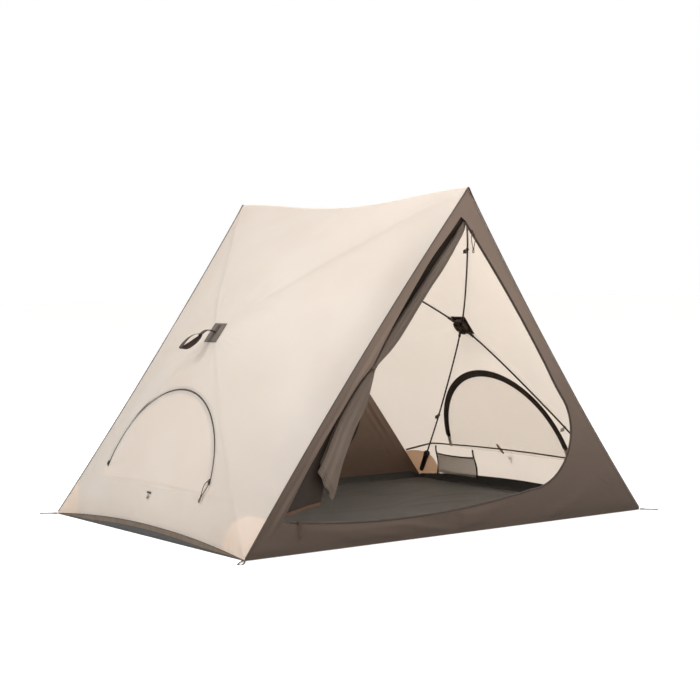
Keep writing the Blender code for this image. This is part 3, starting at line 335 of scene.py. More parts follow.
def clothSheet(name, columns, rows, shape, material, thickness, closed=False):
    # a grid whose every point shape() places; its UVs are the flat cloth in metres
    form = bmesh.new()
    bmesh.ops.create_grid(form, x_segments=columns, y_segments=rows, size=1.0)
    threads = form.loops.layers.uv.new("threads")
    placed = {vert: shape((vert.co.x + 1) / 2, (vert.co.y + 1) / 2) for vert in form.verts}
    for face in form.faces:
        for loop in face.loops:
            loop[threads].uv = placed[loop.vert][1]
    for vert, (point, flat) in placed.items():
        vert.co = point
    if closed:
        bmesh.ops.remove_doubles(form, verts=form.verts, dist=0.00002)
    for edge in form.edges:
        edge.smooth = not edge.is_boundary
    piece = linkMesh(name, form, material)
    shell = piece.modifiers.new("cloth", "SOLIDIFY")
    shell.thickness, shell.offset = thickness, 0.0
    return piece


def strip(name, points, across, width, material, thickness, rows=2, crown=0.0):
    # a strap along points; across is the direction of its width, or a list of one for each point
    count = len(points) - 1
    ahead, run = headings(points), [0.0]
    for first, second in zip(points, points[1:]):
        run.append(run[-1] + (second - first).length)

    def shape(u, v):
        index = min(round(u * count), count)
        wide = across[index] if isinstance(across, list) else across
        lift = ahead[index].cross(wide).normalized() * crown * (1 - (2 * v - 1) ** 2)
        return points[index] + wide * (width * (v - 0.5)) + lift, (run[index], width * v)

    return clothSheet(name, count, rows, shape, material, thickness)


def tube(name, points, radius, material, shares=None, closed=False, roundness=3):
    # a round cord or rod along points, made a mesh with its own lengthwise UV
    curve = bpy.data.curves.new(name, "CURVE")
    curve.dimensions, curve.bevel_depth, curve.bevel_resolution = "3D", radius, roundness
    curve.use_fill_caps = not closed
    spline = curve.splines.new("POLY")
    spline.points.add(len(points) - 1)
    for index, (point, place) in enumerate(zip(spline.points, points)):
        point.co = (*place, 1.0)
        point.radius = shares[index] if shares else 1.0
    spline.use_cyclic_u = closed
    holder = bpy.data.objects.new(name, curve)
    cabin.objects.link(holder)
    form = evaluated(bmesh.new(), holder)
    bmesh.ops.remove_doubles(form, verts=form.verts, dist=0.00001)
    threads = form.loops.layers.uv.verify()
    heading = points[-1] - points[0]
    heading = (heading if heading.length > 0.02 else Vector((0, 0.3, 1))).normalized()
    for face in form.faces:
        for loop in face.loops:
            loop[threads].uv = ((loop.vert.co - points[0]).dot(heading), 0.0)
    return linkMesh(name, form, material)


def rod(name, middle, heading, marks, radius, material, roundness=3):
    # a turned part: (place along heading, share of the radius) pairs
    points, shares = [middle + heading * mark for mark, _ in marks], [share for _, share in marks]
    return tube(name, points, radius, material, shares, roundness=roundness)


def evaluated(form, piece):
    # adds the piece's finished mesh to form and removes the piece
    bpy.context.view_layer.update()
    mesh = bpy.data.meshes.new_from_object(piece.evaluated_get(bpy.context.evaluated_depsgraph_get()))
    form.from_mesh(mesh)
    bpy.data.meshes.remove(mesh)
    bpy.data.objects.remove(piece)
    return form


def joined(name, *pieces):
    # several meshes as one piece
    form, slots = bmesh.new(), []
    for piece in pieces:
        before, material = len(form.faces), piece.data.materials[0]
        if material not in slots:
            slots.append(material)
        evaluated(form, piece)
        form.faces.ensure_lookup_table()
        for face in form.faces[before:]:
            face.material_index = slots.index(material)
    return asPiece(name, form, *slots)


def axes(origin, xAxis, yAxis):
    xAxis = xAxis.normalized()
    zAxis = xAxis.cross(yAxis).normalized()
    matrix = Matrix((xAxis, zAxis.cross(xAxis), zAxis)).transposed().to_4x4()
    matrix.translation = origin
    return matrix


def bevelled(size, offset, segments):
    form = bmesh.new()
    bmesh.ops.create_cube(form, size=1.0)
    bmesh.ops.scale(form, vec=size, verts=form.verts)
    bmesh.ops.bevel(
        form, geom=form.edges[:], offset=offset, segments=segments, affect="EDGES", profile=0.5, material=-1)
    return form


def fit(piece, body, node=None):
    # the piece moves with a body and, where node is given, takes that solid's place
    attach(piece, body)
    if node:
        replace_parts(piece, node)
    return piece


def title(name):
    return "".join(word.capitalize() for word in name.split("_"))


# The sloping walls' surface, as the frame has it

rise = wall["ridgeHeight"] - wall["hemHeight"]
halfWide = wall["width"] / 2
slopeLength = hypot(halfWide, rise)
halfSlope = slopeLength / 2
gableInset = 0.0012 * slopeLength / rise


def halfLength(up):
    return wall["length"] / 2 + (wall["ridgeLength"] - wall["length"]) / 4 * (up + 1)


def seamPull(up):
    return wall["seamCurve"] * (1 - up * up)


def bow(reach):
    reach = max(reach, wall["hubSeat"])
    return wall["hubBow"] * (1 - reach) + 4 * wall["poleBow"] * reach * (1 - reach)


shoulder = window["seam"] + window["radius"] * sin(radians(window["shoulder"]))
windowLow = bow(1 - window["seam"] / halfSlope)
windowLean = (bow(1 - shoulder / halfSlope) - windowLow) / (shoulder - window["seam"])


def slopeAxis(side):
    return Vector((-side * halfWide, 0, rise)) / slopeLength


def outAxis(side):
    return Vector((side * rise, 0, halfWide)) / slopeLength


def placeOnWall(side, y, slope, lift):
    return Vector((side * halfWide, y, wall["hemHeight"])) + slopeAxis(side) * slope + outAxis(side) * lift


def clothHeight(along, up):
    reach = max(abs(along), abs(up))
    soft = wall["creaseSoft"] * ease(reach, 0.07, 0.22) * (1 - ease(reach, 0.66, 0.82))
    beside = abs(abs(along) - abs(up))
    height = bow(reach + (hypot(beside, soft) - beside) / 2)
    if up < 0 and abs(along) <= -up:
        plane = windowLow + windowLean * ((1 + up) * halfSlope - window["seam"])
        share = ease((reach - abs(along)) * halfLength(up), 0, window["blend"]) * ease(reach, 0.10, 0.26)
        height += (plane - height) * share * (1 - ease(reach, 0.82, 0.95))
    return height


def edgeShare(up):
    return max((up - 0.15) / 0.85, 0) ** 2


def ripple(side, y, slope, reach):
    # slow waves and seam gathers in the taut cloth, flat where the hub and the window zip sit
    above = slope - window["seam"]
    fromZip = hypot(y - window["shift"], max(above, 0)) - window["radius"]
    calm = ease(fromZip, 0.02, 0.09) if above > 0 else ease(-above, 0.01, 0.07)
    calm *= ease(reach, 0.07, 0.20) * (1 - ease(reach, 0.93, 1))
    slow = wander(y * 3.1 + side * 7, slope * 2.3, side * 2)
    rays = wander(atan2(y, slope - halfSlope) * 4.5, side * 3, reach * 1.4)
    rays = (1 - min(abs(rays) * 4, 1)) ** 2
    depth = (slow * 1.2 + rays * 0.8 * (1 - ease(reach, 0.3, 0.9))) * calm * wall["ripple"]
    seam = ease(reach, 0.93, 0.975) * (1 - ease(reach, 0.985, 1))
    run = y if abs(slope - halfSlope) > 0.9 * halfSlope else slope
    return depth + seam * wall["pucker"] * sin(run * 2 * pi / 0.034 + 3 * slow)


def wallPoint(side, along, up, lift=0.0):
    # along runs from -1 at the front to 1 at the back, up from -1 at the hem to 1 at the ridge
    across = 1 - along * along
    up += wall["hemArch"] / rise * 2 * across * edgeShare(-up)
    y = along * (halfLength(up) - seamPull(up) * along * along)
    slope = (1 + up) * halfSlope
    waves = ripple(side, y, slope, max(abs(along), abs(up)))
    point = placeOnWall(side, y, slope, clothHeight(along, up) + waves + lift)
    point.z -= wall["ridgeSag"] * across * across * edgeShare(up)
    point.x = side * max(side * point.x, wall["thickness"] / 2 + 0.0008)
    return point


def wallCoords(y, slope):
    # the (along, up) at which wallPoint has this depth and distance up the slope
    up = arched = slope / halfSlope - 1
    along = y / halfLength(up)
    for _ in range(5):
        along = y / (halfLength(up) - seamPull(up) * along * along)
    for _ in range(6):
        arched = up - wall["hemArch"] / rise * 2 * (1 - along * along) * edgeShare(-arched)
    return along, arched


def clothPoint(side, y, slope, lift=0.0):
    return wallPoint(side, *wallCoords(y, slope), lift)


def flatPlace(along, up):
    return along * halfLength(up), (1 + up) * halfSlope


def gableY(height):
    up = 2 * (height - wall["hemHeight"]) / rise - 1
    return halfLength(up) - seamPull(up)


def windowPoint(side, back, up, lift):
    # back and up are from the middle of the window's bottom seam, in the window's own plane
    upward = (slopeAxis(side) + outAxis(side) * windowLean).normalized()
    outward = (outAxis(side) - slopeAxis(side) * windowLean).normalized()
    seam = placeOnWall(side, window["shift"], window["seam"], windowLow)
    return seam + yWay * back + upward * up + outward * lift


def arcPoint(side, radius, turn, lift):
    return windowPoint(side, radius * cos(turn), radius * sin(turn), lift)


def rideSector(piece, hand, sector):
    # works out two points on the panel, at its outer seam and further in, but uses neither; bakes the piece's placement
    # into its mesh
    alongSign, upSign = sectors[sector]
    if upSign:
        places = [(0, 0), (0, 0.165)] if upSign < 0 else [(0, slopeLength), (0, slopeLength - 0.25)]
    else:
        edge = alongSign * halfLength(0)
        places = [(edge, halfSlope), (edge - alongSign * 0.25, halfSlope)]
    [placeOnWall(sides[hand], *place, 0) for place in places]
    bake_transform(piece)
    return piece


def wallSheet(hand, sector, columns, rows, shape, **flat):
    name = f"{hand}Wall{title(sector)}Cloth"
    sheet = clothSheet(name, columns, rows, shape, cream, wall["thickness"], closed=sector == "lower")
    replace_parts(rideSector(sheet, hand, sector), f"{hand}_wall_{sector}")


tipReach = 0.0145  # the panels stop just short of the hub's middle


def sectorSheet(hand, sector):
    alongSign, upSign = sectors[sector]

    def shape(u, v):
        reach = tipReach + (1 - tipReach) * u
        across = (2 * v - 1) * reach
        place = (alongSign * reach if alongSign else across, upSign * reach if upSign else across)
        return wallPoint(sides[hand], *place), flatPlace(*place)

    edge = 2 * halfLength(0) if upSign else slopeLength
    depth = hypot(halfSlope if upSign else halfLength(0), wall["hubBow"])
    wallSheet(hand, sector, wall["grid"], wall["grid"], shape, flat=(edge, depth), area=edge * depth / 2)


def evenly(first, last, count):
    # count points from first, without last
    return [Vector(first).lerp(Vector(last), i / count) for i in range(count)]


def slotShare(turn):
    # the zip's slot closes towards both ends of the arc
    return ease(min(turn, pi - turn), radians(5), radians(8))


def lowerSheet(hand):
    # the lower panel, in rings from the window's slot out to the panel's edges
    diagonal, tip, hem = 56, 4, 84
    stops = [((1, -1), diagonal), ((tipReach, -tipReach), tip), ((-tipReach, -tipReach), diagonal), ((-1, -1), hem)]
    outer = []
    for (start, steps), (end, _) in zip(stops, stops[1:] + stops[:1]):
        outer += evenly(start, end, steps)
    inner = []
    arc = 2 * diagonal + tip
    for i in range(arc):
        turn = pi * i / arc
        radius = window["radius"] + window["slot"] * slotShare(turn)
        slope = window["seam"] + radius * sin(turn) / hypot(1, windowLean)
        inner.append(Vector(wallCoords(window["shift"] + radius * cos(turn), slope)))
    for i in range(hem):
        y = window["shift"] + window["radius"] * (2 * i / hem - 1)
        inner.append(Vector(wallCoords(y, window["seam"])))
    count = len(outer)

    def shape(u, v):
        index = round(u * count) % count
        place = inner[index].lerp(outer[index], v ** 0.9)
        return wallPoint(sides[hand], *place), flatPlace(*place)

    depth = hypot(halfSlope, wall["hubBow"]) - 0.02
    wallSheet(hand, "lower", count, 24, shape, flat=(1.46, depth), area=0.302 * 1.46 * depth)


for hand in sides:
    lowerSheet(hand)
    for sector in ("front", "back", "top"):
        sectorSheet(hand, sector)
say("walls hung")


# Gables and doors

def doorPath():
    # the zip's way round the doorway: bottom left corner, sill, round corner, right side, top
    left = Vector((door["left"], door["leftHeight"]))
    corner = Vector((door["corner"], door["cornerHeight"]))
    top = Vector((0, door["top"]))
    toTop = (top - corner).normalized()
    tangent = door["cornerRadius"] / tan(acos(-toTop.x) / 2)
    sillEnd, sideStart = corner + Vector((-tangent, 0)), corner + toTop * tangent
    centre = sillEnd + Vector((0, door["cornerRadius"]))
    sill = []
    for i in range(72):
        share = i / 72
        sill.append(left.lerp(sillEnd, share) - Vector((0, door["sillSag"] * 4 * share * (1 - share))))
    first, last = [atan2(point.y - centre.y, point.x - centre.x) for point in (sillEnd, sideStart)]
    turns = [first + (last - first) * i / 36 for i in range(36)]
    arc = [centre + door["cornerRadius"] * Vector((cos(turn), sin(turn))) for turn in turns]
    outward, run = Vector((toTop.y, -toTop.x)), []
    for i in range(61):
        run.append(sideStart.lerp(top, i / 60) + outward * (door["sideBow"] * hump(i / 60) * ease(i / 60, 0, 0.2)))
    return sill, arc, run


doorSill, doorArc, doorSide = doorPath()
doorLine = doorSill + doorArc + doorSide


def offsetLine(path, distance):
    # the path moved to its right hand side, which is out of the doorway
    return [point + Vector((way.y, -way.x)) * distance for point, way in zip(path, headings(path))]


def gableHalf(height):
    return halfWide * (1 - (height - wall["hemHeight"]) / rise) - gableInset


def gableRipple(x, height, end):
    # slack folds in the sill and the low corner, fading out along the seams and the doorway
    fromEdge = max(gableHalf(height) - abs(x), 0)
    slow = wander(x * 4, height * 5, end * 3)
    lean = wander(x * 2.2 - height * 6.5 * (1 if x > 0 else -1), height * 2, end + 4)
    fold = (1 - min(abs(lean) * 3.2, 1)) ** 2 * (1 - ease(height, 0.10, 0.42)) * ease(height, 0, 0.04)
    long = 0
    if x * end > 0:
        # long soft folds beside the seam that the rolled door pulls on
        long = sin(2 * pi * fromEdge / 0.046 + 2.4 * slow) * (1 - ease(height, 0.55, 1))
        long *= 0.0042 * ease(height, 0.03, 0.16)
    return ease(fromEdge, 0, 0.05) * (0.0016 * slow + long + 0.0065 * fold)


def gablePoint(x, height, end, lift=0.0):
    return Vector((x, end * (gableY(height) + lift), height))


# the ring round a doorway is cut as three pieces: first and last column, flat cut and area in metres
gableParts = {
    "Sill": (0, 90, (1.95, 0.18), 0.215),
    "Right": (90, 168, (1.56, 0.19), 0.155),
    "Left": (168, 238, (1.58, 0.085), 0.105),
}
# the front's left strip is drawn back by the rolled door: how far, square to the seam, by height
stripEdge = [
    (0.122, 0.0), (0.20, 0.008), (0.29, 0.0155), (0.455, 0.0195), (0.60, 0.019), (0.668, 0.008), (0.726, 0.0145),
    (0.80, 0.0235), (0.934, 0.034), (1.055, 0.0405), (1.153, 0.034), (1.215, 0.033),
]


def doorwayRing(trim=None):
    # two matched loops in x and height: the zip's slot and the gable's edge
    path = offsetLine(doorLine, 0.0036)
    seam = [path[-1].lerp(path[0], (i - 0.9) / 69.1) for i in range(1, 71)]
    if trim:
        outward = Vector((path[0].y - path[-1].y, path[-1].x - path[0].x)).normalized()
        seam = [point + outward * along(trim, point.y) for point in seam]
    apex = Vector((0, wall["hemHeight"] + (1 - gableInset / halfWide) * rise))
    foot = 0.0012
    turnIn, low, side = Vector((0.60, foot)), Vector((gableHalf(foot), foot)), Vector((gableHalf(0.34), 0.34))
    left = Vector((-gableHalf(foot), foot))
    outer = evenly(left, turnIn, 72) + evenly(turnIn, low, 18) + evenly(low, side, 18) + evenly(side, apex, 60)
    return path + seam, outer + evenly(apex, left, 70) + [left]


def buildGable(name, node, end):
    inner, outer = doorwayRing(stripEdge if end < 0 else None)
    for partName, (first, last, flat, area) in gableParts.items():

        def shape(u, v):
            index = first + round(u * (last - first))
            place = inner[index].lerp(outer[index], v)
            return gablePoint(*place, end, 0.0006 + gableRipple(*place, end) * ease(v, 0, 0.25)), place

        sheet = clothSheet(f"{name}{partName}Cloth", last - first, 12, shape, taupe, 0.001)
        fit(sheet, "shelter", node)


def buildBackDoor():
    path = offsetLine(doorLine, -0.0024)
    count = len(path) - 1

    def shape(u, v):
        place = path[0].lerp(path[-1], u).lerp(path[round(u * count)], v)
        slack = 0.004 + 0.006 * wander(place.x * 3, place.y * 3, 5)
        return gablePoint(*place, 1, 0.0006 + hump(v) * hump(min(u * 1.15, 1)) * slack), place

    sheet = fit(clothSheet("backDoorCloth", count, 40, shape, taupeDouble, 0.0012), "back_door", "back_door")


buildGable("frontGable", "front_gable", -1)
buildGable("backGable", "back_gable", 1)
buildBackDoor()


gathers = {
    # edges are offsets in metres from the seam, by height; the layers lie one behind the other
    "outer": {
        "node": "front_door", "piece": "frontDoorCloth", "top": 1.241, "foot": (0.131, 0.163), "front": 0.036,
        "layers": 5.0, "start": 0.0, "spacing": 0.0034, "bulge": 0.0, "folds": 1.4, "foldDepth": 0.004,
        "left": [
            (0.122, -0.006), (0.29, -0.026), (0.455, -0.032), (0.60, -0.031), (0.668, -0.017), (0.726, -0.025),
            (0.80, -0.037), (0.934, -0.051), (1.055, -0.059), (1.153, -0.052), (1.215, -0.052), (1.241, -0.056),
        ],
        "right": [
            (0.122, 0.186), (0.20, 0.148), (0.327, 0.084), (0.455, 0.044), (0.560, 0.038), (0.615, 0.034),
            (0.668, 0.024), (0.726, 0.036), (0.840, 0.046), (1.055, 0.044), (1.153, 0.036), (1.215, 0.014),
            (1.241, -0.010),
        ],
        "hems": [(0.000, 0.0125)],  # stitched edges, up from the layer's foot
    },
    "lining": {
        "node": "front_door_lining", "piece": "frontDoorLiningCloth", "top": 1.217, "foot": (0.290, 0.181),
        "front": 0.014, "layers": 7.0, "start": -0.4, "spacing": 0.0028, "bulge": 0.008, "folds": 2.3,
        "foldDepth": 0.0045,
        "left": [
            (0.181, 0.060), (0.290, 0.048), (0.327, 0.044), (0.391, 0.028), (0.455, 0.011), (0.520, 0.001),
            (0.615, 0.001), (0.668, 0.011), (0.726, 0.005), (0.783, -0.004), (0.840, -0.003), (0.934, 0.003),
            (1.055, 0.005), (1.153, 0.006), (1.190, -0.004), (1.217, -0.008),
        ],
        "right": [
            (0.181, 0.197), (0.220, 0.184), (0.290, 0.152), (0.327, 0.138), (0.391, 0.118), (0.455, 0.102),
            (0.520, 0.093), (0.560, 0.076), (0.615, 0.051), (0.668, 0.029), (0.726, 0.049), (0.783, 0.056),
            (0.934, 0.052), (1.055, 0.054), (1.153, 0.040), (1.190, 0.026), (1.217, 0.004),
        ],
        "hems": [(0.0035, 0.0053), (0.0135, 0.0155), (0.0245, 0.0260)],
    },
    "tieBand": 0.020,
}


def seamX(height):
    return door["left"] * (1 - (height - door["leftHeight"]) / (door["top"] - door["leftHeight"]))


def gatherPoint(spec, fold, height, forward=0.0):
    # fold counts the layers from the front: 0 to 1 is the first one, left to right
    across = (1 - cos(pi * fold)) / 2
    behind = ease(fold, 0.95, 1.4)
    loose = ease(abs(height - door["tieHeight"]), 0, 0.15)
    layer = max(fold - 1, 0)
    shrink = 1 - behind * (0.10 + 0.08 * sin(2.1 * layer + 3 * height)) * loose
    left, right = along(spec["left"], height), along(spec["right"], height)
    width = right - left
    slow = wander(height * 3.3, across * 2, spec["front"] * 90 + layer)
    creases = sin(2 * pi * (spec["folds"] * across + 0.12 * slow) + 1.1 + 2.2 * height)
    depth = spec["front"] + spec["spacing"] * (0.6 + 0.4 * loose) * sqrt(fold * fold + 0.03)
    depth -= (1 - behind) * spec["bulge"] * sin(pi * across) * (0.4 + 0.6 * loose)
    depth += (1 - 0.6 * behind) * spec["foldDepth"] * creases * loose * min(width / 0.09, 1)
    depth += 0.0012 * wander(height * 19, across * 5, layer) * loose
    if spec["start"] == 0:
        depth = 0.0024 + (depth - 0.0024) * ease(fold, 0, 0.42)
    depth = 0.0024 + (depth - 0.0024) * (1 - 0.78 * ease(height, 1.12, 1.235))
    x = seamX(height) + left + width * (0.5 + (across - 0.5) * shrink)
    return Vector((x, -gableY(height) + depth - forward, height))


def gatherFoot(spec, fold):
    low, high = spec["foot"]
    return low + (high - low) * (1 - cos(pi * fold)) / 2 + 0.006 * max(fold - 1, 0)


def gatheredSheet(name, cloth):
    spec = gathers[name]

    def shape(u, v):
        fold = spec["start"] + (spec["layers"] - spec["start"]) * u
        height = spec["top"] + (gatherFoot(spec, fold) - spec["top"]) * (1 - v)
        return gatherPoint(spec, fold, height), (0.09 * fold, height)

    sheet = clothSheet(spec["piece"], round(18 * spec["layers"]), 120, shape, cloth, 0.0008)
    fit(sheet, "shelter", spec["node"])


def gatheredHem(name, cloth):
    # the turned and stitched low edge of a gathered layer
    spec = gathers[name]
    for index, (low, high) in enumerate(spec["hems"]):

        def shape(u, v):
            fold = 0.02 + 0.96 * u
            height = gatherFoot(spec, fold) + low + (high - low) * v
            return gatherPoint(spec, fold, height, 0.001), (0.09 * u, height)

        fit(clothSheet(f"{spec['piece']}Hem{index}", 30, 3, shape, cloth, 0.0008), "shelter")


def squarish(value):
    return copysign(abs(value) ** 0.8, value)


def doorTie():
    # a flat cloth band from the strip's edge round the whole roll, closed behind by a toggle
    height = door["tieHeight"]
    seam = Vector((-door["left"], 0, door["top"] - door["leftHeight"])).normalized()
    square = Vector((seam.z, 0, -seam.x))
    centre = Vector((seamX(height) + 0.0085, -gableY(height) + 0.0262, height))

    def shape(u, v):
        turn = 2 * pi * u
        wide = squarish(cos(turn)) * 0.0158 + 0.0006 * sin(9 * turn) * (2 * v - 1)
        up = gathers["tieBand"] * (v - 0.5)
        return centre + square * wide + yWay * (squarish(sin(turn)) * 0.0245) + seam * up, (0.02 * turn, up)

    band = clothSheet("frontDoorTieBand", 56, 6, shape, taupeDouble, 0.001, closed=True)
    marks = [(-0.5, 0.55), (-0.42, 0.9), (-0.2, 1.0), (-0.06, 0.72), (0.06, 0.72), (0.2, 1.0), (0.42, 0.9), (0.5, 0.55)]
    stem = centre + square * 0.0196 + yWay * 0.016
    toggle = rod("frontDoorTieToggle", stem, seam * 0.024, marks, 0.0042, nylon)
    for piece in (band, toggle):
        fit(piece, "shelter", "front_door_tie")


gatheredSheet("outer", doorShade)
gatheredSheet("lining", lining)
gatheredHem("outer", bindingTape)
gatheredHem("lining", hemTape)
doorTie()


def coilRow(name, points, radius):
    # a moulded coil drawn as beads on a line, twice as coarse as the real 1.5 mm pitch
    marks = [0.0]
    for first, second in zip(points, points[1:]):
        marks.append(marks[-1] + (second - first).length)
    count = round(marks[-1] / window["toothPitch"]) * 2
    beads, index = [], 0
    for i in range(count + 1):
        place = marks[-1] * i / count
        while index < len(points) - 2 and marks[index + 1] < place:
            index += 1
        share = (place - marks[index]) / (marks[index + 1] - marks[index])
        beads.append(points[index].lerp(points[index + 1], share))
    return tube(name, beads, radius, coilNylon, [1.0 if i % 2 else 0.7 for i in range(count + 1)], roundness=1)


def zipAlong(prefix, end, width, node=None):
    # tape behind the gable's edge and one row of teeth, on the way round the doorway
    path = doorLine[2:]
    places = [gablePoint(*point, end, -0.0012) for point in path]
    sideways = [Vector((way.y, 0, -way.x)) for way in headings(path)]
    fit(strip(f"{prefix}ZipTape", places, sideways, width, doorTape, 0.0006, rows=3), "shelter", node)
    fit(coilRow(f"{prefix}ZipCoil", [gablePoint(*point, end, -0.0001) for point in path], 0.0014), "shelter")
    return places, sideways


zipAlong("frontDoor", -1, 0.012, "front_door_zip")
places, sideways = zipAlong("backDoor", 1, 0.018)
behindZip = [place - yWay * 0.0016 for place in places]
fit(strip("backDoorInnerBand", behindZip, sideways, 0.026, windowTape, 0.001, rows=4), "shelter")


def cordLine(top, down, across, out, spec):
    # a doubled cord through a slider's bridge: down one side, round at its end and back up
    length, waist, radius, mouth = spec["drop"], spec["waist"], spec["tip"] / 2, spec["width"] / 2
    opening = [(0.0, 0.0014), (0.16, mouth * 0.80), (0.38, mouth), (0.72, mouth * 0.62), (1.0, 0.0011)]
    half = []
    for i in range(33):
        drop = i / 32 * (length - radius)
        spread = 0.0011 + (radius - 0.0011) * ease(drop, waist, length - radius)
        half.append((along(opening, drop / waist) if drop < waist else spread, drop))
    for i in range(1, 8):
        turn = pi / 2 * i / 7
        half.append((radius * cos(turn), length - radius + radius * sin(turn)))
    outline = half + [(-spread, drop) for spread, drop in half[-2::-1]]
    return [
        top + across * spread + down * drop + out * 0.0012 * hump(min(drop / length, 1)) for spread, drop in outline]


def pullCord(name, body, top, down, across, out, spec, material):
    points, radius = cordLine(top, down, across, out, spec), spec["radius"]
    marks = [(-1.0, 0.45), (-0.7, 0.85), (-0.2, 1.0), (0.2, 1.0), (0.7, 0.85), (1.0, 0.45)]
    centre = top + down * spec["waist"] + out * 0.0012
    cord = fit(tube(name, points, radius, material, roundness=2), body)
    knot = fit(rod(f"{name}Knot", centre, down * 0.003, marks, radius * 2.4, material), body)
    tuple(points[0])
    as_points(points)


def sliderBody(place, lift):
    # a die-cast slider with its bridge; place has X along the zip and Z away from the cloth
    form = bevelled((0.020, 0.0108, 0.0040), 0.0012, 3)
    nose = [vert for vert in form.verts if vert.co.x > 0.004]
    bmesh.ops.scale(form, vec=(1.0, 0.72, 1.0), verts=nose)
    bmesh.ops.translate(form, vec=(0.0, 0.0, lift), verts=form.verts)
    bmesh.ops.transform(form, matrix=place, verts=form.verts)
    base, reach = copysign(0.0020, lift) + lift, 0.0062
    arch = []
    for i in range(11):
        x = reach * (i / 5 - 1)
        arch.append(place @ Vector((x, 0, base + copysign(0.0026, lift) * (1 - (x / reach) ** 2))))
    return linkMesh("body", form, darkZinc), tube("bridge", arch, 0.0009, darkZinc, roundness=2)


doorPulls = {
    "low": {"drop": 0.060, "width": 0.010, "waist": 0.044, "tip": 0.007, "radius": 0.0013, "length": 0.126},
    "high": {"drop": 0.078, "width": 0.019, "waist": 0.062, "tip": 0.008, "radius": 0.0015, "length": 0.168},
}


def doorSlider(name, place, heading):
    lean = (gableY(place.y + 0.01) - gableY(place.y - 0.01)) / 0.02
    upright = Vector((0, -lean, 1)).normalized()
    front = xWay.cross(upright)
    forward = (xWay * heading.x + upright * heading.y).normalized()
    middle, node = gablePoint(*place, -1), f"front_door_slider_{name}"
    parts = sliderBody(axes(middle, forward, front.cross(forward)), 0.0044)
    fit(joined(f"frontDoorSlider{title(name)}", *parts), node, node)
    top = middle + front * 0.0086
    pullCord(f"frontDoorPull{title(name)}", node, top, -zWay, xWay, front, doorPulls[name], palePull)


doorSlider("low", doorSill[0].lerp(doorSill[6], 0.75), doorSill[6] - doorSill[0])
doorSlider("high", doorSide[60].lerp(doorSide[50], 0.35), doorSide[50] - doorSide[60])
say("gables and doors hung")


# Floor tub

floorTub = {
    "inset": 0.0036,
    "seamRise": 0.016,  # up the wall's inside from its hem
    "endRim": 0.035,
    "cornerRim": 0.012,
    "dip": 0.070,
    "thickness": 0.0012,
    "columns": 96,
    "rows": 76,
    "rimSteps": 4,
    "wrinkle": 0.0045,
}


def floorAxis(share, count, half):
    # place along one side of the floor, and how far up the rim it is
    steps, index = floorTub["rimSteps"], round(share * count)
    inside = (index - steps) / (count - 2 * steps) * 2 - 1
    return max(min(inside, 1), -1) * half, max(steps - index, index - (count - steps), 0) / steps


def floorPoint(u, v):
    halfX, halfY = halfWide - floorTub["inset"], wall["length"] / 2 - floorTub["inset"]
    x, sideStep = floorAxis(u, floorTub["columns"], halfX)
    y, endStep = floorAxis(v, floorTub["rows"], halfY)
    flat = (x + copysign(sideStep * 0.04, x), y + copysign(endStep * 0.04, y))
    calm = ease(halfX - abs(x), 0.01, 0.10) * ease(halfY - abs(y), 0.01, 0.10)
    fold = (1 - min(abs(wander(x * 1.7 + y * 0.9, y * 4.2 - x, 8)) * 5, 1)) ** 2
    base = floorTub["thickness"] / 2
    z = base + calm * floorTub["wrinkle"] * (0.5 + 0.5 * wander(x * 2.6, y * 3.4, 1) + 1.1 * fold)
    if sideStep and endStep:
        z = base + 0.006 * max(sideStep, endStep)
    elif sideStep:
        top = wallPoint(copysign(1, x), y / halfLength(-1), -1 + floorTub["seamRise"] / halfSlope, -0.004)
        x += (top.x - x) * sideStep
        z = base + (top.z - base) * sideStep
    elif endStep:
        dip = ease(halfX - abs(x), 0, floorTub["dip"])
        top = floorTub["cornerRim"] + (floorTub["endRim"] - floorTub["cornerRim"]) * dip
        z = base + (top - base) * endStep
    return Vector((x, y, z)), flat


floorCloth = clothSheet(
    "floorCloth", floorTub["columns"], floorTub["rows"], floorPoint, groundCloth, floorTub["thickness"], closed=True)
fit(floorCloth, "shelter", "floor_tub")
say("floor laid")


# Windows

windowPull = {"drop": 0.088, "width": 0.026, "waist": 0.062, "tip": 0.0086, "radius": 0.0016, "length": 0.186}


def halfDisc(name, side, reach, foot, lift, material, thickness, bulge=0.0):
    def shape(u, v):
        turn = pi * (1 - u)
        radius = reach(turn)
        back = radius * cos(turn)
        high = foot + (max(radius * sin(turn), foot) - foot) * v
        out = bulge * hump(u) * hump(min(high / radius, 1)) * (0.7 + 0.6 * wander(back * 5, high * 5, side * 2))
        return windowPoint(side, back, high, lift + max(out, 0)), (back, high)

    return clothSheet(name, 72, 32, shape, material, thickness)


def arcBand(name, side, halfWidth, lift, thickness, crown=0.0, clear=8.5):
    first = radians(clear)

    def shape(u, v):
        turn = first + (pi - 2 * first) * u
        radius = window["radius"] + halfWidth * (2 * v - 1)
        place = arcPoint(side, radius, turn, lift + crown * (1 - (2 * v - 1) ** 2))
        return place, (window["radius"] * turn, halfWidth * v * 2)

    return clothSheet(name, 120, 4, shape, windowTape, thickness)


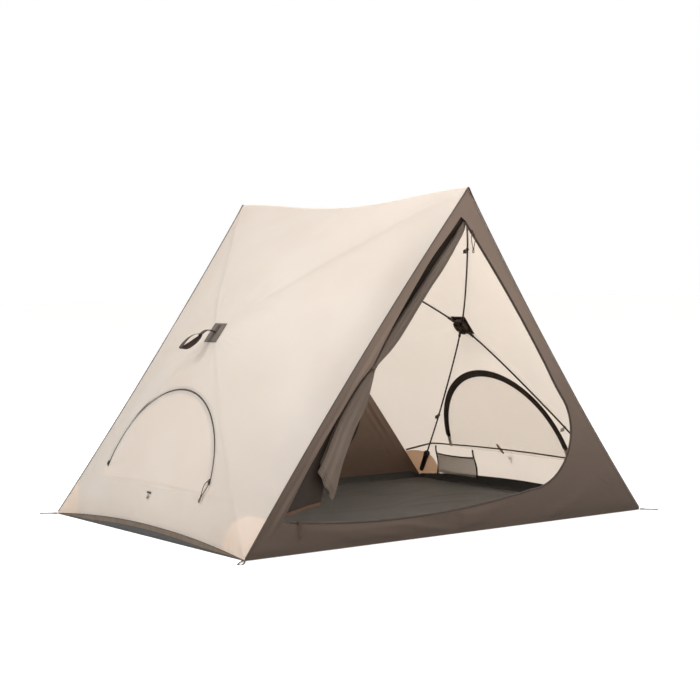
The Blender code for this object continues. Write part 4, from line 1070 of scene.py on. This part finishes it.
def buildWindowSlider(hand, end):
    side, sign, node = sides[hand], ends[end], f"{hand}_window_slider_{end}"
    turn = radians(window["sliderAngle"])
    back, up = window["radius"] * cos(turn) * sign, window["radius"] * sin(turn)
    place = windowPoint(side, back, up, 0)
    upward = (windowPoint(side, back, up + 0.01, 0) - place).normalized()
    out = (windowPoint(side, back, up, 0.01) - place).normalized()
    travel = (upward * cos(turn) - yWay * (sign * sin(turn))).normalized()
    matrix = axes(place, travel, out.cross(travel))
    tab = bevelled((0.046, 0.0052, 0.0012), 0.0005, 2)
    hanging = axes(place - upward * 0.026 - out * 0.0105, -upward, out.cross(-upward))
    bmesh.ops.transform(tab, matrix=hanging, verts=tab.verts)
    parts = [*sliderBody(matrix, 0.0042), *sliderBody(matrix, -0.0068), linkMesh("tab", tab, paleZinc)]
    fit(joined(f"{hand}WindowSlider{title(end)}", *parts), node, node)
    if end == "front":
        lean = (yWay * 0.22 - upward).normalized()
        pullCord(f"{hand}WindowPull", node, place + out * 0.0088, lean, yWay, out, windowPull, cordBraid)


def buildWindow(hand):
    side, lower, full = sides[hand], f"{hand}_wall_lower", window["radius"]

    def flapReach(turn):
        return full - 0.0003 - (window["slot"] - 0.0003) * slotShare(turn)

    def sewn(piece, node, held):
        fit(piece, node if held == "hung" else lower, node)

    flap = halfDisc(f"{hand}WindowFlapCloth", side, flapReach, 0.0002, 0, cream, 0.001, 0.004)
    sewn(flap, f"{hand}_window_flap", "hung")
    net = halfDisc(f"{hand}WindowNetCloth", side, lambda turn: full + 0.0105, 0.001, -0.0024, netCloth, 0.0004)
    sewn(net, f"{hand}_window_net", "stretched")
    tape = arcBand(f"{hand}WindowZipTape", side, window["tapeHalf"], -0.0011, 0.0007, clear=7.0)
    fit(tape, lower, f"{hand}_window_zip")
    fit(arcBand(f"{hand}WindowInnerBand", side, window["innerHalf"], -0.0036, 0.001, -0.0007), lower)
    first = radians(7)
    points = [arcPoint(side, full, first + (pi - 2 * first) * i / 180, 0.0006) for i in range(181)]
    fit(coilRow(f"{hand}WindowZipCoil", points, window["coilRadius"]), lower)
    for end, sign in ends.items():
        buildWindowSlider(hand, end)
        turns = [radians(0.6 + 7.4 * i / 8) for i in range(9)]
        foot = [windowPoint(side, sign * full * cos(turn), full * sin(turn), -0.0034) for turn in turns]
        fit(strip(f"{hand}WindowTapeEnd{title(end)}", foot, yWay, 0.022, paleTape, 0.0008), lower)


for hand in sides:
    buildWindow(hand)
say("windows sewn in")


# Poles, hubs, boots and ties

poles = {
    "radius": 0.004,
    "endRadius": 0.005,
    "standoff": 0.0123,  # axis behind the cloth, at the hub
    "spanStandoff": 0.0170,
    "tipStandoff": 0.020,
    "tipBack": 0.075,
    "pivot": 0.030,
    "bootLength": 0.130,
    "bootOverrun": 0.013,
    "tieReach": 0.58,
    "ballRadius": 0.009,
}


def cornerReach(corner):
    return hypot(halfLength(corner[1]), halfSlope)


def polePoint(side, corner, distance):
    # a point of the pole's axis by its distance from the hub's middle
    share = distance / cornerReach(corner)
    back = poles["standoff"] + (poles["spanStandoff"] - poles["standoff"]) * ease(share, 0.08, 0.45)
    back += (poles["tipStandoff"] - poles["spanStandoff"]) * ease(share, 0.62, 0.80)
    y = corner[0] * share * halfLength(corner[1])
    return placeOnWall(side, y, halfSlope * (1 + corner[1] * share), bow(share) - back)


def poleSide(side, corner):
    heading = slopeAxis(side) * corner[1] * halfSlope + yWay * (corner[0] * halfLength(corner[1]))
    return heading.normalized().cross(outAxis(side)).normalized()


def buildPole(hand, name):
    side, corner = sides[hand], corners[name]
    pivot = polePoint(side, corner, poles["pivot"])
    ahead = (polePoint(side, corner, poles["pivot"] + 0.06) - pivot).normalized()
    start, end = 0.0905, cornerReach(corner) - poles["tipBack"]
    thick = poles["endRadius"] / poles["radius"]
    neck = [(0.0235, thick * 0.8), (0.0245, thick), (0.030, thick), (0.050, thick), (0.070, thick), (0.0712, 1.0)]
    points = [pivot + ahead * (mark - poles["pivot"]) for mark, _ in neck]
    points += [polePoint(side, corner, start + (end - start) * i / 40) for i in range(1, 41)]
    shaft = tube("shaft", points, poles["radius"], glassfibre, [share for _, share in neck] + [1.0] * 40)
    marks = [(-1.0, 0.8), (-0.97, 1.0), (0.97, 1.0), (1.0, 0.8)]
    pin = rod("pin", pivot, poleSide(side, corner) * 0.012, marks, 0.0020, zinc)
    lip = [(0.0425, 0.9), (0.0432, 1.0), (0.0462, 1.0), (0.0468, 0.86), (0.0700, 0.80), (0.0706, 0.88), (0.0732, 0.86)]
    marks = [(mark - poles["pivot"], share) for mark, share in lip]
    socket = rod("socket", pivot, ahead, marks, 0.0070, nylon)
    node = f"{hand}_pole_{name}"
    fit(joined(f"{hand}Pole{title(name)}", shaft, pin, socket), node, node)


def buildBoot(hand, name):
    # a stitched sleeve over the pole's foot, pinched flat at its tip
    side, corner = sides[hand], corners[name]
    start = cornerReach(corner) - poles["tipBack"] + poles["bootOverrun"] - poles["bootLength"]
    across = poleSide(side, corner)
    profile = [
        (0.0, 0.0060), (0.004, 0.0135), (0.020, 0.0150), (0.055, 0.0145), (0.075, 0.0118), (0.110, 0.0132),
        (0.55, 0.0114), (0.86, 0.0102), (0.955, 0.0094), (1.0, 0.0056),
    ]

    def shape(u, v):
        turn = 2 * pi * u
        radius = along(profile, v) * (1 + 0.05 * sin(4 * turn + 9 * v) * ease(v, 0.08, 0.3))
        centre = polePoint(side, corner, start + poles["bootLength"] * v)
        away = outAxis(side) * (sin(turn) * radius * (1 - 0.75 * ease(v, 0.90, 1)))
        return centre + across * (cos(turn) * radius) + away, (0.012 * turn, 0.13 * v)

    boot = clothSheet(f"{hand}Boot{title(name.split('_')[0])}", 32, 60, shape, bootCloth, 0.001, True)
    fit(boot, f"{hand}_pole_{name}", f"{hand}_boot_{name}")


def buildTie(hand, name):
    # an elastic ring round the pole, drawn through a ball
    side, corner, ball = sides[hand], corners[name], poles["ballRadius"]
    middle = cornerReach(corner) * poles["tieReach"]
    centre = polePoint(side, corner, middle)
    ahead = (polePoint(side, corner, middle + 0.01) - centre).normalized()
    out = outAxis(side)
    beside = ahead.cross(out).normalized()
    parts = []
    for step in (-1, 1):
        loop = []
        for i in range(20):
            turn = 2 * pi * i / 20
            around = (beside * cos(turn) + out * sin(turn)) * 0.006
            loop.append(centre - out * 0.0009 + around + ahead * (0.0016 * step + 0.0008 * sin(2 * turn)))
        parts.append(tube("ring", loop, 0.0011, elastic, closed=True, roundness=2))
    form = bmesh.new()
    bmesh.ops.create_uvsphere(form, u_segments=24, v_segments=14, radius=ball)
    waist = [vert for vert in form.verts if abs(vert.co.z) < 0.0012]
    bmesh.ops.scale(form, vec=(0.965, 0.965, 1.0), verts=waist)
    tips = [vert for vert in form.verts if abs(vert.co.z) > ball * 0.9]
    bmesh.ops.scale(form, vec=(1.0, 1.0, 0.90), verts=tips)
    place = centre - out * (0.0067 + 0.0008 + ball)
    bmesh.ops.transform(form, matrix=axes(place, beside, ahead), verts=form.verts)
    parts.append(linkMesh("ball", form, paleNylon if (hand, name) == ("right", "front_low") else nylon))
    marks = [(0.0082, 0.7), (0.0100, 1.2), (0.0125, 1.2), (0.0140, 0.6)]
    parts.append(rod("tail", place, -out, marks, 0.0016, elastic, roundness=2))
    # the CAD has no tie at the high back pole
    node = None if name == "back_high" else f"{hand}_tie_{name}"
    fit(joined(f"{hand}Tie{title(name)}", *parts), f"{hand}_pole_{name}", node)


def hubTop(side, y, up, lift):
    reach = max(abs(y) / halfLength(0), abs(up) / halfSlope)
    return placeOnWall(side, y, halfSlope + up, bow(reach) + lift)


hubCaps = {"radius": 0.0135, "height": 0.0032, "screwRadius": 0.0026, "screwHeight": 0.0012, "screwReach": 0.0290}


def domes(name, base, radius, height, places):
    # low turned domes with a sunk middle
    form = bmesh.new()
    outline = [(1.0, 0.0002), (1.0, 0.5 * height), (0.86, 0.86 * height), (0.45, height), (0.40, 0.80 * height)]
    for x, y in places:
        edge = [form.verts.new((x + radius * share, y, lift)) for share, lift in outline + [(0.0, 0.80 * height)]]
        edges = [form.edges.new(pair) for pair in zip(edge, edge[1:])]
        bmesh.ops.spin(
            form, geom=edge + edges, cent=(x, y, 0.0), axis=(0.0, 0.0, 1.0), angle=2 * pi, steps=28, use_merge=True)
    bmesh.ops.remove_doubles(form, verts=form.verts, dist=0.00002)
    bmesh.ops.holes_fill(form, edges=form.edges, sides=0)
    bmesh.ops.transform(form, matrix=base, verts=form.verts)
    return linkMesh(name, form, nylon)


def stitches(name, hand, seams, radius):
    # short runs of sewing thread on the hub, each a slim rod of few faces; seams has (y, up, lift) pairs
    form = bmesh.new()
    for ends in seams:
        first, second = [hubTop(sides[hand], *end) for end in ends]
        reach = second - first
        made = bmesh.ops.create_cone(
            form, cap_ends=True, segments=5, radius1=radius, radius2=radius, depth=reach.length)
        turn = reach.to_track_quat("Z", "Y").to_matrix().to_4x4()
        turn.translation = (first + second) / 2
        bmesh.ops.transform(form, matrix=turn, verts=made["verts"])
    fit(linkMesh(name, form, paleThread), f"{hand}_hub")


def buildHubDetail(hand):
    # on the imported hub: a domed cap, four screw heads between the arms and a square backing patch
    side, out, reach = sides[hand], outAxis(sides[hand]), hubCaps["screwReach"]
    floor = placeOnWall(side, 0, halfSlope, bow(0) - 0.0013) - out * 0.022
    base = axes(floor, yWay, yWay.cross(out))
    screws = [(reach * x, reach * y) for x, y in ((0, 1), (1, 0), (0, -1), (-1, 0))]
    cap = domes("cap", base, hubCaps["radius"], hubCaps["height"], [(0.0, 0.0)])
    heads = domes("screws", base, hubCaps["screwRadius"], hubCaps["screwHeight"], screws)
    fit(joined(f"{hand}HubCap", cap, heads), f"{hand}_hub")

    def patch(name, size, low, high, thickness, cloth, node=None):
        def shape(u, v):
            y, up = size * (u - 0.5), size * (v - 0.5)
            lift = low + (high - low) * (1 - ease(hypot(y, up), 0.012, 0.036))
            return hubTop(side, y, up, lift + 0.0004 * sin(u * 17) * sin(v * 15)), (y, up)

        fit(clothSheet(name, 30, 30, shape, cloth, thickness), f"{hand}_hub", node)

    patch(f"{hand}HubPatch", 0.092, 0.0014, 0.0027, 0.0007, hubPatchCloth, f"{hand}_hub_patch")
    patch(f"{hand}HubInnerPatch", 0.098, -0.0010, -0.0009, 0.0004, bootCloth)
    seams = []
    for half in (0.0425, 0.0395):
        for edge in (-half, half):
            for turned in (False, True):
                for i in range(round(2 * half / 0.0062)):
                    run = [-half + 0.0062 * i + 0.0008, -half + 0.0062 * i + 0.0050]
                    seams.append([(edge, mark, 0.0021) if turned else (mark, edge, 0.0021) for mark in run])
    stitches(f"{hand}HubPatchStitches", hand, seams, 0.0004)


pullLoop = {
    "length": 0.160, "width": 0.025, "thickness": 0.0015, "neck": 0.066, "opening": 0.030, "rise": 0.012,
    "droop": 0.060, "twist": 62.0,
}


def buildPullLoop(hand):
    # webbing sewn to the patch doubled, open like an eye further out, its lower strand twisted
    side = sides[hand]
    start = placeOnWall(side, 0, halfSlope, bow(0) + 0.0030 + 0.0018)
    neck, steps = pullLoop["neck"] / pullLoop["length"], 44
    places, sideways = [], []
    for leg in (1, -1):
        for i in range(steps + 1) if leg > 0 else range(steps - 1, -1, -1):
            share = i / steps
            up = pullLoop["rise"] * hump(min(share * 2.2, 1)) - pullLoop["droop"] * share * share
            opened = max((share - neck) / (1 - neck), 0)
            gap = 0.0009 + pullLoop["opening"] / 2 * hump(opened) ** 0.7
            if share > 0.985:
                gap = 0.0042 if leg > 0 else 0.0
            places.append(start + xWay * side * pullLoop["length"] * share + zWay * (up + leg * gap))
            angle = radians(pullLoop["twist"]) * hump(min(opened * 1.05, 1)) * (-0.16 if leg > 0 else 1)
            sideways.append(Vector((0, cos(angle), sin(angle))))
    name, hub, loop = f"{hand}PullLoop", f"{hand}_hub", f"{hand}_pull_loop"
    fit(strip(name, places, sideways, pullLoop["width"], webbing, pullLoop["thickness"], rows=6), loop, loop)
    tail = [hubTop(side, 0, 0.003 + 0.034 * i / 8, 0.0036 - 0.0012 * ease(i / 8, 0.4, 1)) for i in range(9)]
    fit(strip(f"{name}Root", tail, yWay, 0.025, webbing, 0.0012, rows=4), hub)
    seams, edge, lift = [], 0.0098, 0.0041
    for i in range(5):
        low, high = 0.010 + 0.0052 * i, 0.010 + 0.0052 * i + 0.0036
        first, second = -edge + 0.0039 * i, -edge + 0.0039 * (i + 0.75)
        seams += [[(y, low, lift), (y, high, 0.0038)] for y in (-edge, edge)]
        seams += [[(first, up, lift), (second, up, lift)] for up in (0.010, 0.034)]
        seams += [[(first * flip, low, lift), (second * flip, high, lift)] for flip in (-1, 1)]
    stitches(f"{name}Stitches", hand, seams, 0.0005)


for hand in sides:
    buildHubDetail(hand)
    buildPullLoop(hand)
    for corner in corners:
        buildPole(hand, corner)
        buildTie(hand, corner)
        if corner.endswith("low"):
            buildBoot(hand, corner)
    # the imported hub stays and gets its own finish
    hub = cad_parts[f"{hand}_hub"]
    hub.data.materials.clear()
    hub.data.materials.append(nylon)
say("poles and hubs fitted")


# Trims on the walls

trims = {
    "seamSlope": 0.1740,  # inner seam's tape, just under the window
    "seamWidth": 0.0092,
    "cornerRadius": 0.165,
    "toggleBelow": 0.024,
    "piping": 0.0021,
    "hemBand": 0.018,
}
pocket = {
    "Front": (0.276, 0.022),  # place of the side at the seam, and how far it runs out to the foot
    "Back": (0.553, 0.050),
    "foot": 0.036,
    "top": 0.133,
    "depth": 0.026,
}


def buildInnerSeam(hand):
    up = trims["seamSlope"] / halfSlope - 1
    for sector, (first, last) in {"front": (-0.988, up), "lower": (up, -up), "back": (-up, 0.988)}.items():
        count = round(80 * (last - first)) + 4
        points = [wallPoint(sides[hand], first + (last - first) * i / count, up, -0.0026) for i in range(count + 1)]
        name = f"{hand}InnerSeam{title(sector)}"
        tape = strip(name, points, slopeAxis(sides[hand]), trims["seamWidth"], bindingTape, 0.0008)
        rideSector(tape, hand, sector)


def buildCornerPatches(hand):
    split = atan2(halfSlope, halfLength(-1))
    for end, sign in ends.items():
        for sector, first, last in (("lower", 0, split), (end, split, pi / 2)):

            def shape(u, v):
                turn = first + (last - first) * u
                radius = trims["cornerRadius"] * (0.03 + 0.97 * v)
                across, up = radius * cos(turn), radius * sin(turn)
                place = (sign * (1 - across / halfLength(-1)) * 0.9985, -0.998 + up / halfSlope)
                return wallPoint(sides[hand], *place, -0.0015), (across, up)

            name = f"{hand}CornerPatch{title(end)}{title(sector)}"
            rideSector(clothSheet(name, 20, 18, shape, cornerCloth, 0.0007), hand, sector)


def buildPocket():
    # a net pouch with soft creases, bound along its mouth and both sides
    side, lower = sides["right"], "right_wall_lower"

    def sideY(edge, slope):
        place, flare = pocket[edge]
        return place + flare * (trims["seamSlope"] - slope) / trims["seamSlope"]

    def netPlace(u, v, forward=0.0):
        slope = pocket["foot"] + (pocket["top"] - pocket["foot"]) * v
        y = sideY("Front", slope) * (1 - u) + sideY("Back", slope) * u
        belly = hump(u) ** 0.65 * ease(v, -0.04, 0.30) * (0.84 - 0.48 * v)
        crease = wander(u * 5.5, v * 2.2, 4) * 0.10 + wander(u * 14, v * 3, 2) * 0.04
        away = 0.0042 + pocket["depth"] * max(belly * (1 + crease), 0)
        return clothPoint(side, y, slope, -away - forward)

    def shape(u, v):
        return netPlace(u, v), ((pocket["Back"][0] - pocket["Front"][0]) * 1.1 * u, 0.1 * v)

    def binding(name, points, across, width, thickness):
        fit(strip(f"gearPocket{name}", points, across, width, darkBinding, thickness, crown=0.0006), lower)

    net = fit(clothSheet("gearPocketNet", 60, 24, shape, pocketNet, 0.0006), lower, "gear_pocket")
    binding("Mouth", [netPlace(i / 30, 1, 0.0004) for i in range(31)], slopeAxis(side), 0.0125, 0.0014)
    for name in ("Front", "Back"):
        points = []
        for i in range(23):
            slope = 0.176 - 0.146 * i / 22
            points.append(clothPoint(side, sideY(name, slope) + 0.004 * sin(i / 3), slope, -0.0052))
        binding(f"{name}Binding", points, yWay, 0.0105, 0.0016)


def buildWindowToggle(hand):
    # barrel and cord eye for the rolled flap, and the strap loop inside
    side, lower = sides[hand], f"{hand}_wall_lower"
    up, out = slopeAxis(side), outAxis(side)
    surface = clothPoint(side, window["shift"], window["seam"] - trims["toggleBelow"], 0.0005)
    half = [(0.05, 0.70), (0.16, 0.78), (0.24, 1.0), (0.36, 1.0), (0.47, 0.85), (0.50, 0.60)]
    marks = [(-mark, share) for mark, share in half[::-1]] + half
    barrel = rod("barrel", surface + out * 0.0056, yWay * 0.024, marks, 0.0045, nylon)
    ring = []
    for i in range(28):
        turn = 2 * pi * i / 28
        lift = 0.0012 + 0.0042 * (1 + cos(turn)) / 2
        ring.append(surface + up * (0.009 * (cos(turn) - 1) - 0.0027) + out * lift + yWay * (0.0042 * sin(turn)))
    eye = tube("eye", ring, 0.001, paleCord, closed=True, roundness=2)
    fit(joined(f"{hand}WindowToggle", barrel, eye), lower, f"{hand}_window_toggle")
    root = surface - up * 0.019
    tab = [root + up * (0.004 * i - 0.006) + out * 0.0009 for i in range(4)]
    fit(strip(f"{hand}ToggleTab", tab, yWay, 0.012, hemTape, 0.0008), lower)
    points = []
    for i in range(21):
        share = 1 - abs(i / 10 - 1)
        bend = (0.0024 * hump(share) + 0.0012) * (1 if i > 10 else -1)
        y = 0.045 + 0.017 * share - window["shift"]
        points.append(windowPoint(side, y, 0.001 + 0.052 * share, -0.0105 - 0.009 * share - bend))
    fit(strip(f"{hand}RollStrap", points, yWay, 0.0075, bindingTape, 0.0009), lower)


def buildPiping(name, end):
    # round both gable seams, thicker over the ridge
    points, marks = [], range(-62, 63)
    for i in marks:
        side = copysign(1, i)
        place = wallPoint(side, end, min(1 - (abs(i) - 2) * 1.992 / 60, 1))
        if abs(i) < 2:
            place.x *= abs(i) / 2
        points.append(place + yWay * (end * 0.0026) + (outAxis(side) * 0.0014 if i else zWay * 0.002))
    shares = [1 + 0.9 * (1 - ease(abs(i), 1, 5)) for i in marks]
    fit(tube(f"{name}Piping", points, trims["piping"], doorTape, shares, roundness=2), "shelter")


def buildHemBand(hand):
    # hangs from the wall's arched hem over the floor's rim
    side, half = sides[hand], halfLength(-1) - 0.02

    def shape(u, v):
        y = half * (round(u * 72) / 36 - 1)
        hem = wallPoint(side, y / halfLength(-1), -1)
        drop = min(trims["hemBand"], max((hem.z - 0.006) * 0.75, 0.0012))
        downward = (Vector((side * (halfWide - 0.0016), y, 0.003)) - hem).normalized()
        place = hem + downward * (0.003 + drop / 2) - xWay * (side * 0.0012) - downward * drop * (v - 0.5)
        return place, (2 * half * u, trims["hemBand"] * v)

    fit(clothSheet(f"{hand}HemBand", 72, 3, shape, hemTape, 0.0007), "shelter")


def buildRidgeSeam():
    ridge = [wallPoint(1, (i / 40 - 1) * 0.993, 1) for i in range(81)]
    points = [Vector((0, place.y, place.z + 0.0012)) for place in ridge]
    fit(tube("ridgeSeam", points, 0.0022, cream, roundness=2), "shelter")


def buildStakeLoop(hand, end):
    # a loop of webbing at the corner, flat on the ground, sewn on with a doubled tab
    name = f"{hand}{title(end)}Stake"
    heading = Vector((sides[hand], ends[end], 0)).normalized()
    beside = Vector((-heading.y, heading.x, 0))
    start = Vector((sides[hand] * (halfWide + 0.001), ends[end] * (wall["length"] / 2 + 0.001), 0.002))
    near, radius, far = 0.0015, 0.009, 0.080 - 0.0120
    outline = []
    for i in range(13):
        outline.append((near + (far - near) * i / 12, -radius * (0.35 + 0.65 * ease(i / 12, 0, 0.6))))
    for i in range(1, 14):
        turn = pi * i / 14 - pi / 2
        outline.append((far + radius * cos(turn), radius * sin(turn)))
    outline += [(x, -y) for x, y in outline[12::-1]]
    points = [start + heading * x + beside * y + zWay * (0.0006 * sin(70 * x)) for x, y in outline]
    last = len(points) - 1
    ahead = [points[min(i + 1, last)] - points[max(i - 1, 0)] for i in range(last + 1)]
    flats = [Vector((-way.y, way.x, 0)).normalized() for way in ahead]
    fit(strip(f"{name}Loop", points, flats, 0.0052, webbing, 0.0014), "shelter", f"{hand}_{end}_stake_loop")
    tab = [start + heading * (0.003 + 0.0045 * i) + zWay * 0.0019 for i in range(5)]
    fit(strip(f"{name}Tab", tab, beside, 0.017, webbing, 0.0012), "shelter")


for hand in sides:
    buildInnerSeam(hand)
    buildCornerPatches(hand)
    buildWindowToggle(hand)
buildPocket()
for name, end in ends.items():
    buildPiping(name, end)
for hand in sides:
    buildHemBand(hand)
buildRidgeSeam()
for hand in sides:
    for end in ends:
        buildStakeLoop(hand, end)
say("trims sewn on")


# Stage, light and camera

stage = {"ground": "#F1F0EE", "bounce": "#8C8A87", "ambient": 0.62, "size": 60.0}
lamps = {
    "overhead": {"place": (0.5, -2.0, 3.9), "size": 3.0, "power": 50.0},
    "left": {"place": (-6.0, -1.0, 4.2), "size": 4.0, "power": 231.0},
    "right": {"place": (5.6, 1.6, 3.6), "size": 4.5, "power": 164.0},
}
photoView = {"place": (-4.026, -5.552, 1.000), "yaw": 36.08, "pitch": 2.54, "roll": -0.53, "lens": 82.466}


def whiteToCamera(node, plain, white):
    # what the camera and mirrors see is white; the light that reaches the object stays as it is
    path = node("LightPath", None).outputs
    direct = maths(node, "MAXIMUM", path["Is Camera Ray"], path["Is Glossy Ray"])
    clear = maths(node, "MAXIMUM", direct, path["Is Transmission Ray"])
    return node("MixShader", "Shader", {0: clear, 1: plain, 2: white})


def buildStage():
    form = bmesh.new()
    bmesh.ops.create_grid(form, x_segments=1, y_segments=1, size=stage["size"])
    bmesh.ops.translate(form, vec=(0.0, 0.0, -0.0012), verts=form.verts)
    pale, node = newMaterial("pale studio floor, matt painted")
    matt, shaded = [
        node("BsdfDiffuse", "BSDF", {"Color": stage[key], "Roughness": 0.4}) for key in ("bounce", "ground")]
    lift = node("Emission", "Emission", {"Color": "#FFFFFF", "Strength": 0.46})
    seen = node("AddShader", "Shader", {0: shaded, 1: lift})
    surfaced(pale, node, whiteToCamera(node, matt, seen))
    linkMesh("studioFloor", form, pale, smooth=False)
    world = bpy.data.worlds.new("soft studio")
    node = emptyTree(world)
    soft, white = [
        node("Background", "Background", {"Color": "#FFFFFF", "Strength": power}) for power in (stage["ambient"], 1.0)]
    node("OutputWorld", None, {"Surface": whiteToCamera(node, soft, white)})
    bpy.context.scene.world = world


def buildLamps():
    for name, spec in lamps.items():
        light = bpy.data.lights.new(name, "AREA")
        light.shape, light.size, light.energy = "DISK", spec["size"], spec["power"]
        lamp = bpy.data.objects.new(name, light)
        lamp.location = spec["place"]
        lamp.rotation_euler = (zWay * 0.6 - lamp.location).to_track_quat("-Z", "Y").to_euler()
        lamp.visible_camera = False
        cabin.objects.link(lamp)


def buildCamera():
    yaw, pitch, roll = [radians(photoView[key]) for key in ("yaw", "pitch", "roll")]
    ahead = Vector((sin(yaw) * cos(pitch), cos(yaw) * cos(pitch), -sin(pitch)))
    level = Vector((cos(yaw), -sin(yaw), 0))
    upright = level.cross(ahead)
    right, up = cos(roll) * level + sin(roll) * upright, -sin(roll) * level + cos(roll) * upright
    lens = bpy.data.cameras.new("camera")
    lens.lens, lens.sensor_width = photoView["lens"], 36.0
    lens.clip_start, lens.clip_end = 0.05, 100.0
    camera = bpy.data.objects.new("camera", lens)
    camera.matrix_world = axes(Vector(photoView["place"]), right, up)
    cabin.objects.link(camera)
    bpy.context.scene.camera = camera


buildStage()
buildLamps()
buildCamera()
bpy.context.scene.view_settings.view_transform = "Standard"
say("stage and camera set")
